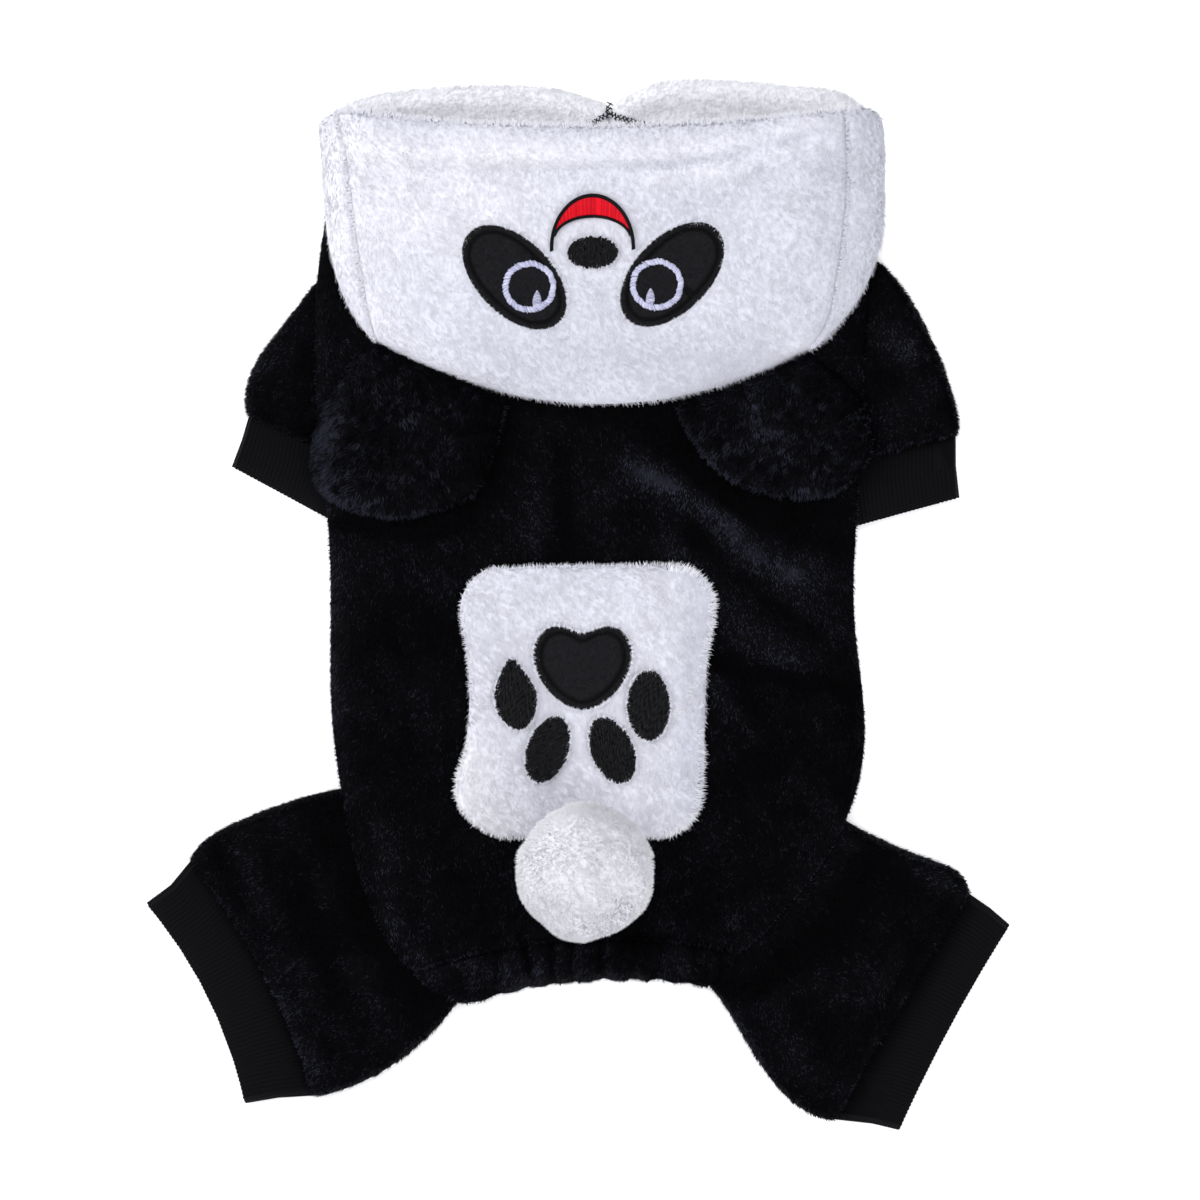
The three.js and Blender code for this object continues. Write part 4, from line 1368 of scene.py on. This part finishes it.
@dataclass
class Limb:
    """A sleeve or leg of plush with its rib cuff."""

    limb: str
    cuff: str
    limb_flat: Place
    cuff_flat: Place
    comb: Place
    seed: int
    rib_way: Place
    folds: tuple[Crease, ...]
    # Painted light and shade of the limb's pile.
    painted_light_and_shade: tuple[Crease, ...]
    tuck: float = 0.9
    rib_pitch: float = 1.6
    rib_depth: float = 0.32
    short_edge: float = 0.09
    short_cuts: int = 5
    long_edges: int = 20
    rib_cuts: int = 14
    least_run: float = 0.3
    finish: PlushFinish = BLACK_PLUSH
    cloth: Object | None = None

    def build(self) -> None:
        """Makes the tube of plush and its cuff."""
        self.cloth = cloth_shell(self.limb, 2, SEAM_SWELL)
        crease_cloth(self.cloth, self.folds, 6)
        self.cloth.data.materials.append(self.finish.ground())
        finish_piece(self.cloth, self.finish.slot, self.limb)
        declare_sheet(self.cloth)
        band = self._knit_band()
        band.data.materials.append(RIB.material())
        finish_piece(band, Slot.BLACK_RIB, self.cuff)
        declare_sheet(band)

    def _knit_band(self) -> Object:
        """Makes the cuff, tucked into the limb, and raises its ribs.

        Returns:
            The cuff.
        """
        band = cloth_shell(self.cuff, 0, SEAM_SWELL)
        way = unit(np.array(self.rib_way))
        self._split(band, way)
        points, normals = points_of(band), normals_of(band)
        left = way @ LEFT_TURN
        limb = points_of(self.cloth)[:, :2].mean(axis=0)
        inward = left * np.sign((limb - points[:, :2].mean(axis=0)) @ left)
        reach = points[:, :2] @ inward
        share = np.clip((reach - reach.min()) / np.ptp(reach), 0, 1)
        points[:, :2] += share[:, None] * inward * self.tuck * MM
        crown = np.cos(points[:, :2] / MM @ way * TURN / self.rib_pitch)
        points += normals * (self.rib_depth * 0.5 * MM * crown)[:, None]
        set_points(band, points)
        set_attribute(band, "rib_crown", 0.5 + 0.5 * crown)
        set_attribute(band, "cuff_along", points[:, :2] / MM @ left)
        return band

    def _split(self, band: Object, way: np.ndarray) -> None:
        """Splits the cuff's edges across the ribs, finely enough to carry them.

        Args:
            band: The cuff.
            way: Way across the ribs.
        """
        width = float(np.ptp(plan_of(band) @ way))
        many = int(width / self.long_edges / self.rib_pitch * self.rib_cuts)
        for low, high, cuts in ((0.0, self.short_edge, self.short_cuts),
                                (self.short_edge, 1.0, many)):
            with editing(band, "EDGE"):
                bpy.ops.mesh.select_all(action="DESELECT")
                bpy.ops.object.mode_set(mode="OBJECT")
                plan = plan_of(band)
                for edge in band.data.edges:
                    step = plan[edge.vertices[1]] - plan[edge.vertices[0]]
                    run = abs(float(step @ way))
                    edge.select = bool(low * width <= run < high * width
                                       and run > self.least_run and run > 0.8 * np.hypot(*step))
                bpy.ops.object.mode_set(mode="EDIT")
                bpy.ops.mesh.subdivide(number_cuts=cuts)

    def dress(self, covers: Sequence[Object]) -> None:
        """Grows the limb's pile.

        Args:
            covers: What lies on the limb.
        """
        nap = replace(BLACK_NAP, per_mm2=1.5, comb=self.comb, swirl_cell=26.0, base=-0.06)
        pile = Pile(f"{self.limb}_pile", nap, self.finish, self.seed, self.painted_light_and_shade)
        pile.grow([self.cloth], covers, edges=[fringe_of(self.cloth)])


# Each limb gives its folds and then its painted light and shade: lighter on lit ridges and rolls,
# darker where shade falls.
LIMBS = (
    Limb("fore_sleeve_left", "fore_cuff_left", (94, 68), (84, 25), (-0.6, -1.0), 210, (38.5, -19.5),
         creases(
             (3.5, 0.8, -125, 79, -84, 61),
         ), creases(
             (6, 0.22, -116, 88, -90, 116),
             (6, 0.14, -124, 80, -92, 70),
             (5, -0.14, -98, 96, -92, 80),
         )),
    Limb("fore_sleeve_right", "fore_cuff_right", (96, 72), (84, 25), (0.35, -1.0), 220, (38.5, 10.5),
         creases(
             (3.5, 0.8, 97, 59, 142, 71),
         ), creases(
             (6, 0.2, 100, 112, 124, 94),
             (6, 0.12, 106, 72, 138, 80),
             (5, -0.14, 112, 92, 118, 84),
         )),
    Limb("hind_leg_left", "hind_cuff_left", (206, 82), (176, 24), (-1.0, -0.55), 230, (39.0, -77.5),
         creases(
             (3.5, 1.0, -140, -91, -124, -124, -94, -180),
             (4.0, -1.0, -131, -88, -112, -124, -88, -170),
             (5.0, 0.9, -118, -84, -96, -100, -84, -120),
         ), creases(
             (7, 0.24, -125, -94, -110, -145, -98, -172),
             (6, 0.14, -110, -82, -90, -109),
             (6, 0.12, -82, -137, -70, -161),
             (5, -0.14, -106, -102, -90, -149),
             (5, -0.3, -84, -82, -78, -117, -58, -143),
         )),
    Limb("hind_leg_right", "hind_cuff_right", (206, 84), (184, 24), (0.9, -0.6), 240, (-42.5, -78.5),
         creases(
             (3.5, 1.0, 142, -104, 118, -144, 90, -190),
             (4.0, -1.0, 133, -100, 110, -140, 84, -180),
             (5.0, 1.0, 112, -90, 96, -112, 80, -126),
         ), creases(
             (5, 0.22, 127, -98, 143, -109),
             (5, 0.12, 104, -90, 135, -94),
             (6, 0.22, 123, -149, 104, -188),
             (6, 0.14, 72, -149, 88, -180),
             (3, -0.24, 127, -129, 115, -157),
             (8, -0.1, 84, -153, 104, -165),
             (5, -0.3, 109, -94, 96, -121, 66, -143),
         )),
)


@dataclass
class Hood:
    """Face, side, back and throat panels of the hood."""

    finish: PlushFinish = WHITE_PLUSH
    face_nap: Nap = Nap(per_mm2=1.65, length=2.4, width=0.44, lean=1.15, comb=(0.25, -1.0),
                        swirl=0.7, clump=2.2, gather=0.06, stray=0.4, base=0.12, shade=0.07,
                        patches=0.04, soft=0.94, spark=0.03, painted_side_light=0.25)
    # The throat's pile has a much lighter base tone than the face's: painted light against the shade
    # under the rim.
    throat_nap: Nap = Nap(per_mm2=1.7, length=2.0, width=0.5, lean=1.0, comb=(0.2, 1.0),
                          swirl=0.6, clump=2.4, gather=0.2, stray=0.4, base=0.9, shade=0.1,
                          patches=0.06, soft=0.95, spark=0.03, least_lift=0.93)
    # Painted light and shade of the face: a light roll along the rim, a lit upper left, painted shade
    # below the eyes, down the right side and in the rim's groove, and a light strip under it.
    face_painted_light_and_shade: tuple[Crease, ...] = creases(
        (7, 0.22, -96, 172, -30, 168, 50, 170, 90, 178),
        (22, 0.3, -92, 160, -56, 148, -30, 158),
        (12, 0.14, -84, 130, -70, 104),
        (12, -0.2, -20, 90, 60, 92),
        (9, -0.12, 6, 118, 8, 104),
        (10, -0.12, 95, 160, 92, 112),
        (1.8, -0.16, -92, 164, -46, 161.5, 10, 162, 53, 167, 94, 178),
        (1.8, -0.16, 20, 162.5, 53, 167, 90, 177),
        (4, 0.14, 28, 159, 62, 163),
        (2.5, -0.2, -98, 168, -86, 163),
        (8, -0.08, -40, 100, -10, 94),
    )
    # Painted shade at the throat's left corner, next to the rim.
    throat_painted_shade: tuple[Crease, ...] = creases(
        (5, -0.35, -96, 184, -66, 180),
    )
    folds: tuple[Crease, ...] = creases(
        (2.8, -0.9, -99, 174.5, -85.3, 165, -68.1, 162.4, -46.7, 161.6, -17.8, 161.6, 10.7, 162, 32.4,
         163.5, 53.8, 166.9, 75.2, 172.1, 93.9, 177.8),
        (5.0, 1.2, -90, 172, -60, 169, -18, 168.6, 32.4, 170.5, 60, 175),
        (14, -0.5, -20, 150, 10, 100),
        (12, 0.8, -60, 140, -45, 100),
        (12, 0.7, 60, 150, 66, 110),
    )
    flats: tuple[tuple[str, Place], ...] = (
        ("hood_face", (200, 118)),
        ("hood_side_left", (22, 90)),
        ("hood_side_right", (30, 95)),
        ("hood_back", (188, 78)),
        ("hood_throat_left", (104, 31)),
        ("hood_throat_right", (97, 33)),
    )
    corner: float = 9.0
    swell: float = 0.5
    cuts: tuple[float, ...] = (-400, 130, 400)
    cloths: dict[str, Object] = field(default_factory=dict)

    def build(self) -> None:
        """Makes the cloths."""
        for node, flat in self.flats:
            cloth = sewn_cloth(node, self.finish, 1 if node == "hood_back" else 2, self.swell)
            self.cloths[node] = cloth
            if node == "hood_face":
                crease_cloth(cloth, self.folds, 14)
            if node.startswith("hood_side"):
                self._round_end(cloth)
            declare_sheet(cloth)

    def _round_end(self, cloth: Object) -> None:
        """Rounds the outer top corner of a side panel, where the rim's hem is turned.

        Args:
            cloth: The side panel.
        """
        points = points_of(cloth)
        x, y = points[:, 0] / MM, points[:, 1] / MM
        out = np.sign(x.mean()) * x
        near = np.clip((out - out.max() + self.corner) / self.corner, 0, 1)
        high = np.clip((y - y.max() + 2.5 * self.corner) / (2.5 * self.corner), 0, 1)
        points[:, 1] -= 0.6 * self.corner * near ** 2 * high * MM
        set_points(cloth, points)

    def upper(self) -> list[Object]:
        """The panels that show."""
        return [self.cloths[node] for node in ("hood_face", "hood_side_left", "hood_side_right")]

    def throat(self) -> list[Object]:
        """The panels past the rim."""
        return [self.cloths["hood_throat_left"], self.cloths["hood_throat_right"]]

    def dress(self, covers: Sequence[Object], edges: Sequence[Edge]) -> None:
        """Grows the pile of the face, its sides and the throat.

        Args:
            covers: Felt and stitches that lie on the face.
            edges: Their outlines.
        """
        face = self.cloths["hood_face"]
        seams = [Edge(edge_line(face, 0, end, 98, top), Lean.BOTH, lift=0.3, per_mm=8.0, rise=0.2,
                      length=0.8) for end, top in ((-1, 184), (1, 186))]
        # The rim's top edge gets painted light on its rolled tufts.
        seams.append(Edge(edge_line(face, 1, 1, -92, 104, 90), Lean.OUTWARD, lift=-0.2, per_mm=9.0,
                          rise=0.1, length=1.1, tone=0.3))
        for number, cut in enumerate(zip(self.cuts[:-1], self.cuts[1:]), start=1):
            pile = Pile(f"hood_pile_{number}", self.face_nap, self.finish, 300 + number,
                        self.face_painted_light_and_shade)
            pile.grow(self.upper(), covers, between(*cut), seams if number == 2 else edges)
        pile = Pile("hood_throat_pile", self.throat_nap, self.finish, 320, self.throat_painted_shade)
        pile.grow(self.throat(), self.upper(), Overlock.is_clear)


@dataclass
class Ears:
    """Two plush ears, sewn, turned and lightly filled."""

    finish: PlushFinish = BLACK_PLUSH
    nap: Nap = Nap(per_mm2=1.8, length=2.6, width=0.6, lean=1.0, comb=(-0.3, -1.0), swirl=0.9,
                   swirl_cell=22.0, clump=2.8, gather=0.5, stray=0.3, base=0.14, shade=0.34,
                   patches=0.08, soft=0.3, spark=0.25, painted_side_light=0.2, clump_tone=0.25)
    # Painted light along the ears' outer and lower edges, and painted shade along their inner sides.
    painted_light_and_shade: tuple[Crease, ...] = creases(
        (6, 0.2, -94, 62, -92, 44, -80, 33, -60, 32),
        (5, 0.15, -87, 84, -93, 62),
        (5, -0.15, -34, 74, -38, 48),
        (5, 0.2, 42, 58, 61, 43, 91, 39),
        (8, 0.12, 61, 84, 76, 62),
        (6, -0.1, 40, 74, 50, 64),
    )
    seeds: tuple[tuple[str, int], ...] = (("ear_left", 410), ("ear_right", 420))
    fringe_top: float = 76.0
    cloths: list[Object] = field(default_factory=list)

    def build(self) -> None:
        """Makes the ears."""
        for node, _ in self.seeds:
            ear = sewn_cloth(node, self.finish)
            self.cloths.append(ear)

    def dress(self, covers: Sequence[Object]) -> None:
        """Grows their pile.

        Args:
            covers: What lies on them.
        """
        for ear, (node, seed) in zip(self.cloths, self.seeds):
            pile = Pile(f"{node}_pile", self.nap, self.finish, seed, self.painted_light_and_shade)
            pile.grow([ear], covers, edges=[fringe_of(ear, self.fringe_top)])


@dataclass
class Paw:
    """Plush patch on the back with its felt pad and four embroidered toes."""

    finish: PlushFinish = WHITE_PLUSH
    nap: Nap = Nap(per_mm2=2.0, length=2.6, width=0.46, lean=1.15, comb=(0.35, -1.0), swirl=0.9,
                   swirl_cell=24.0, clump=2.6, gather=0.1, stray=0.5, base=0.16, shade=0.1,
                   patches=0.05, soft=0.93, spark=0.03, painted_side_light=0.2)
    # Painted shade on the strip that rolls down the right side, and painted light low in the middle
    # and at the lower left.
    painted_light_and_shade: tuple[Crease, ...] = creases(
        (5.0, -0.6, 47, 8, 45, -40, 46, -80),
        (8, 0.1, -20, -84, 20, -84),
        (14, 0.42, -46, -58, -34, -84),
    )
    pad_middle: Place = (1.9, -22.0)
    toes: tuple[Oval, ...] = (
        Oval(-23.4, -33.4, 7.9, 13.2, 8.0, 0.5),
        Oval(-11.2, -54.1, 7.6, 12.8, -20.0, 0.05),
        Oval(12.9, -54.3, 7.8, 12.9, 24.0, 0.1),
        Oval(26.6, -37.6, 7.9, 13.0, 1.0, 0.05),
    )
    toe_pitch: float = 0.52
    toe_stitch: float = 3.8
    toe_slant: float = 62.0
    # Fringe right of this line lies on the lit side and gets painted light.
    lit_side: float = 30.0

    def build(self) -> None:
        """Makes the patch, its toes, and its pad with the stitch line."""
        self.cloth = sewn_cloth("back_patch", self.finish)
        declare_sheet(self.cloth)
        self.pad = felt_piece("paw_pad")
        toes = Embroidery("paw_toes", [self.cloth], 0.32, BLACK_THREAD, 510)
        for toe in self.toes:
            toes.fill(toe, self.toe_pitch, self.toe_stitch, self.toe_slant)
        self.sewn_toes = toes.sew(rise=1.5)
        seam = Embroidery("paw_pad_stitches", [self.pad], 0.2, SEWING_THREAD, 520)
        seam.line(inset_outline(self.pad, self.pad_middle, STITCH_INSET))
        seam.sew()

    def dress(self) -> None:
        """Grows the patch's pile."""
        lines = [toe.outline(0.2) for toe in self.toes]
        lines.append(inset_outline(self.pad, self.pad_middle, -0.2))
        edges = [Edge(line, Lean.INWARD, lift=1.7, per_mm=3.0, rise=0.3, length=0.5)
                 for line in lines]
        middle = middle_of("back_patch")
        rim = inset_outline(self.cloth, middle, 0.6)
        # The rim's fringe gets a little painted light, and the fringe on the lit right side much
        # more.
        edges.append(Edge(rim, Lean.OUTWARD, per_mm=5.0, rise=0.1, length=0.8, start=0.6, tone=0.1))
        side = rim[rim[:, 0] > middle[0] + self.lit_side]
        edges.append(Edge(side, Lean.OUTWARD, lift=0.3, per_mm=7.0, rise=0.1, length=1.2,
                          start=1.4, tone=0.6))
        pile = Pile("back_patch_pile", self.nap, self.finish, 530, self.painted_light_and_shade)
        pile.grow([self.cloth], [self.pad, self.sewn_toes], edges=edges)


@dataclass
class Face:
    """Felt eye patches with ringed eyes, nose and mouth, upside down on the turned-back hood."""

    eyes: tuple[tuple[str, float, float], ...] = (
        ("eye_patch_left", -23.6, 122.5),
        ("eye_patch_right", 35.4, 123.6),
    )
    # Middle of each ring, and X of its glint.
    rings: tuple[tuple[float, float, float], ...] = ((-18.0, 119.0, -15.2), (29.6, 119.8, 27.2))
    ring_outer: Place = (10.1, 9.7)
    ring_width: float = 2.2
    ring_stitches: int = 130
    ring_slant: float = 0.10
    ring_ragged: float = 0.14
    # Half width, half height and drop below the ring's middle.
    glint: tuple[float, float, float] = (1.4, 3.1, 4.7)
    glint_pitch: float = 0.55
    nose: Oval = Oval(5.7, 131.8, 9.4, 5.7)
    nose_pitch: float = 0.42
    nose_stitch: float = 3.0
    nose_slant: float = 78.0
    mouth_middle: float = 5.6
    # Base, half width and rise of each arc of the mouth.
    mouth_outer: tuple[float, float, float] = (133.4, 15.3, 19.6)
    mouth_inner: tuple[float, float, float] = (136.6, 14.4, 8.6)
    mouth_red: Place = (18.0, 162.0)
    mouth_stitches: int = 105
    outline_width: float = 1.4
    pieces: list[Object] = field(default_factory=list)
    edges: list[Edge] = field(default_factory=list)

    def build(self, hood: Sequence[Object]) -> None:
        """Makes the face.

        Args:
            hood: The hood's upper panels.
        """
        for name, x, y in self.eyes:
            patch = felt_piece(name)
            self.pieces.append(patch)
            seam = Embroidery(f"{name}_stitches", [patch], 0.2, SEWING_THREAD, 610)
            seam.line(inset_outline(patch, (x, y), STITCH_INSET))
            seam.sew()
            self.edges.append(Edge(inset_outline(patch, (x, y), -0.2), Lean.INWARD, lift=1.5,
                                   per_mm=3.0, rise=0.3, length=0.45))
        self.edges.append(Edge(self.nose.outline(0.2), Lean.INWARD, lift=1.3, per_mm=3.0, rise=0.3,
                               length=0.4))
        eyes = Embroidery("eye_rings", list(self.pieces), 0.24, RING_THREAD, 620)
        for x, y, glint_x in self.rings:
            self._ring(eyes, np.array([x, y]))
            self._glint(eyes, glint_x, y - self.glint[2])
        eyes.sew()
        nose = Embroidery("nose", hood, 0.26, BLACK_THREAD, 630)
        nose.fill(self.nose, self.nose_pitch, self.nose_stitch, self.nose_slant)
        mouth = Embroidery("mouth", hood, 0.25, RED_THREAD, 640)
        low, high = np.radians(self.mouth_red)
        for angle in np.linspace(low, high, self.mouth_stitches):
            mouth.stitch(self._arc(self.mouth_inner, angle), self._arc(self.mouth_outer, angle))
        outline = Embroidery("mouth_outline", hood, 0.24, BLACK_THREAD, 650)
        self._outline(outline)
        self.pieces += [work.sew(rise) for work, rise in ((nose, 1.3), (mouth, 1.2), (outline, 1.4))]

    def _ring(self, work: Embroidery, centre: np.ndarray) -> None:
        """Sews a ring of slanted satin stitches.

        Args:
            work: The embroidery.
            centre: Middle of the ring.
        """
        rng = np.random.default_rng(621)
        for angle in np.arange(self.ring_stitches) * TURN / self.ring_stitches:
            outer = np.array(self.ring_outer) + rng.normal(0, self.ring_ragged)
            way, lean = (np.array([math.cos(a), math.sin(a)])
                         for a in (angle, angle + self.ring_slant))
            work.stitch(centre + (outer - self.ring_width) * way, centre + outer * lean, 0.05)

    def _glint(self, work: Embroidery, x: float, y: float) -> None:
        """Sews the small upright glint in a pupil.

        Args:
            work: The embroidery.
            x: Middle of the glint.
            y: Its middle along Y.
        """
        half_x, half_y, _ = self.glint
        for row in np.arange(-half_y, half_y, self.glint_pitch):
            half = half_x * (1 - (row / half_y) ** 2) ** 0.5 * (1.15 - 0.35 * row / half_y)
            work.stitch((x - half, y + row - 0.3), (x + half, y + row + 0.3), 0.12)

    def _arc(self, arc: tuple[float, float, float], angle: float, grow: float = 0.0) -> Place:
        """Finds a place on one of the mouth's two arcs.

        Args:
            arc: Base, half width and rise of the arc.
            angle: Way to the place from the arc's middle, in radians.
            grow: How far outside the arc it lies.

        Returns:
            The place.
        """
        base, half, rise = arc
        return (self.mouth_middle + (half + grow) * math.cos(angle),
                base + (rise + grow) * math.sin(angle))

    def _outline(self, work: Embroidery) -> None:
        """Sews the thin black satin line round the crescent, past its corners.

        Args:
            work: The embroidery.
        """
        for arc, ends, count, share, slant in ((self.mouth_outer, (-2, 182), 150, 1.0, 0.03),
                                               (self.mouth_inner, (10, 170), 80, 0.8, 0.04)):
            half = share * self.outline_width / 2
            for angle in np.linspace(*np.radians(ends), count):
                work.stitch(self._arc(arc, angle, -half), self._arc(arc, angle + slant, half), 0.1)


@dataclass
class Overlock:
    """Overlock stitches on the neck seam, seen in the notch between the throat panels."""

    BRANCHES: ClassVar[tuple[Crease, ...]] = creases(
        (1.5, 1.0, 11.8, 188.4, 11.6, 184.4, 8.7, 182.6, 3.3, 179.3, -5.7, 178.9),
        (1.5, 1.0, 12.2, 184.4, 15.0, 183.0, 19.4, 181.5, 26.0, 180.4),
    )
    CLEAR: ClassVar[float] = 0.12
    pitch: float = 0.8
    loop: float = 2.6
    lift: float = 1.6
    swings: Place = (0.4, 1.6)
    halves: Place = (0.3, 0.55)

    @classmethod
    def is_clear(cls, places: np.ndarray) -> np.ndarray:
        """Says which places lie away from the stitches, where pile may grow."""
        return sum(branch.raise_at(places[:, :2]) for branch in cls.BRANCHES) < cls.CLEAR

    def build(self, throat: Sequence[Object]) -> None:
        """Sews the crossing loops.

        Args:
            throat: The throat panels.
        """
        rng = np.random.default_rng(700)
        work = Embroidery("notch_overlock", throat, 0.24, SEWING_THREAD, 710)
        for branch in self.BRANCHES:
            route = Route(branch.path)
            for number, at in enumerate(np.arange(0, route.reach[-1], self.pitch)):
                here, ahead = route.at([at, at + 0.1])
                way = unit(ahead - here)
                side = way @ LEFT_TURN
                swing = way * self.pitch * rng.uniform(*self.swings) * (-1) ** number
                a = here - side * self.loop * rng.uniform(*self.halves) - swing
                b = here + side * self.loop * rng.uniform(*self.halves) + swing
                work.stitch(a, b, self.lift + rng.uniform(0, 0.4))
        work.sew()


@dataclass
class Pompom:
    """Pompom tail: a ball of trimmed yarn."""

    finish: PlushFinish = WHITE_YARN
    nap: Nap = Nap(per_mm2=2.2, length=1.9, width=0.5, lean=0.6, comb=(0.0, -1.0), swirl=3.0,
                   swirl_cell=8.0, clump=1.8, gather=0.1, stray=0.9, base=0.36, shade=0.3,
                   patches=0.06, soft=0.96, spark=0.02, clump_tone=0.12, least_lift=0.9)
    shrink: float = 0.94
    lump: float = 1.0

    def build(self) -> None:
        """Makes the ball and its pile."""
        low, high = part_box("pompom")
        centre, half = (low + high) / 2, (high - low) / 2
        bpy.ops.object.select_all(action="DESELECT")
        bpy.ops.mesh.primitive_ico_sphere_add(subdivisions=5, radius=1.0, location=(0, 0, 0))
        ball = bpy.context.active_object
        ball.name = "pompom_ball"
        with editing(ball):
            bpy.ops.mesh.select_all(action="SELECT")
            bpy.ops.transform.resize(value=tuple(self.shrink * side for side in half))
            bpy.ops.transform.translate(value=tuple(centre))
            bpy.ops.mesh.faces_shade_smooth()
        points = points_of(ball)
        lumps = SoftField(810, 9.0)(points[:, :2] / MM) + SoftField(811, 8.0)(points[:, 1:] / MM)
        points += unit(points - np.array(centre)) * (self.lump * MM * lumps)[:, None]
        set_points(ball, points)
        ball.data.materials.clear()
        ball.data.materials.append(self.finish.ground())
        finish_piece(ball, self.finish.slot, "pompom")
        Pile("pompom_pile", self.nap, self.finish, 820).grow([ball])


@dataclass
class Studio:
    """Pale floor, soft light and the camera straight above."""

    # Place in metres, side in metres and power in watts of each light.
    lights: tuple[tuple[str, tuple[float, float, float], float, float], ...] = (
        ("key_softbox", (-1.2, 0.3, 1.0), 0.9, 12.8),
        ("fill_softbox", (0.9, -0.8, 1.1), 1.0, 10.0),
        ("top_softbox", (0.0, 1.0, 2.2), 1.2, 10.5),
    )
    air_colour: str = "f4f6ff"
    air_light: float = 0.58
    # The camera's height and the floor's side are in metres. The scale is true at the seat's height.
    camera_height: float = 3.6
    sensor: float = 36.0
    floor_size: float = 6.0
    floor_colour: str = "fbfbfb"
    floor_glow: float = 0.4
    seat_height: float = 8.0

    def build(self) -> None:
        """Sets up floor, lights, world and camera."""
        self._floor()
        for name, place, size, power in self.lights:
            lamp = bpy.data.lights.new(name, "AREA")
            lamp.energy = power
            lamp.size = size
            stand = self._stand(name, lamp, place)
            stand.rotation_euler = (-Vector(place)).to_track_quat("-Z", "Y").to_euler()
        world = bpy.data.worlds.new("studio")
        world.use_nodes = True
        background = world.node_tree.nodes["Background"]
        background.inputs["Color"].default_value = linear(self.air_colour)
        background.inputs["Strength"].default_value = self.air_light
        bpy.context.scene.world = world
        bpy.context.scene.view_settings.view_transform = "Standard"
        self._camera()

    @staticmethod
    def _stand(name: str, what: bpy.types.ID, place: Sequence[float]) -> Object:
        """Puts a light or camera in the scene.

        Args:
            name: Its name.
            what: Its data.
            place: Where it stands, in metres.

        Returns:
            Its object.
        """
        obj = bpy.data.objects.new(name, what)
        obj.location = place
        bpy.context.scene.collection.objects.link(obj)
        return obj

    def _floor(self) -> None:
        """Adds the pale floor."""
        bpy.ops.object.select_all(action="DESELECT")
        bpy.ops.mesh.primitive_plane_add(size=self.floor_size, location=(0, 0, 0))
        floor = bpy.context.active_object
        floor.name = "floor"
        paper = linear(self.floor_colour)
        material = Shader("matt_paper_backdrop").close(paper, 0.9, 0.1, Emission_Color=paper,
                                                       Emission_Strength=self.floor_glow)
        floor.data.materials.append(material)

    def _camera(self) -> None:
        """Adds the long lens straight above, framed as the photo."""
        lens = bpy.data.cameras.new("camera")
        lens.sensor_width = self.sensor
        shown = PHOTO_PIXELS * MM_PER_PIXEL * MM
        lens.lens = self.sensor * (self.camera_height - self.seat_height * MM) / shown
        place = (PHOTO_CENTRE[0] * MM, PHOTO_CENTRE[1] * MM, self.camera_height)
        bpy.context.scene.camera = self._stand("camera", lens, place)


def main() -> None:
    """Builds every sub-assembly in order."""
    logging.basicConfig(level=logging.INFO, format="%(message)s")
    Studio().build()
    body, hood, ears, paw, face = Body(), Hood(), Ears(), Paw(), Face()
    body.build()
    for limb in LIMBS:
        limb.build()
    hood.build()
    ears.build()
    paw.build()
    face.build(hood.upper())
    Overlock().build(hood.throat())
    Pompom().build()
    for limb in LIMBS:
        limb.dress(body.upper() + hood.upper() + ears.cloths)
    body.dress(hood.upper() + ears.cloths + [paw.cloth])
    hood.dress(face.pieces, face.edges)
    ears.dress(hood.upper())
    paw.dress()


if __name__ == "__main__":
    main()
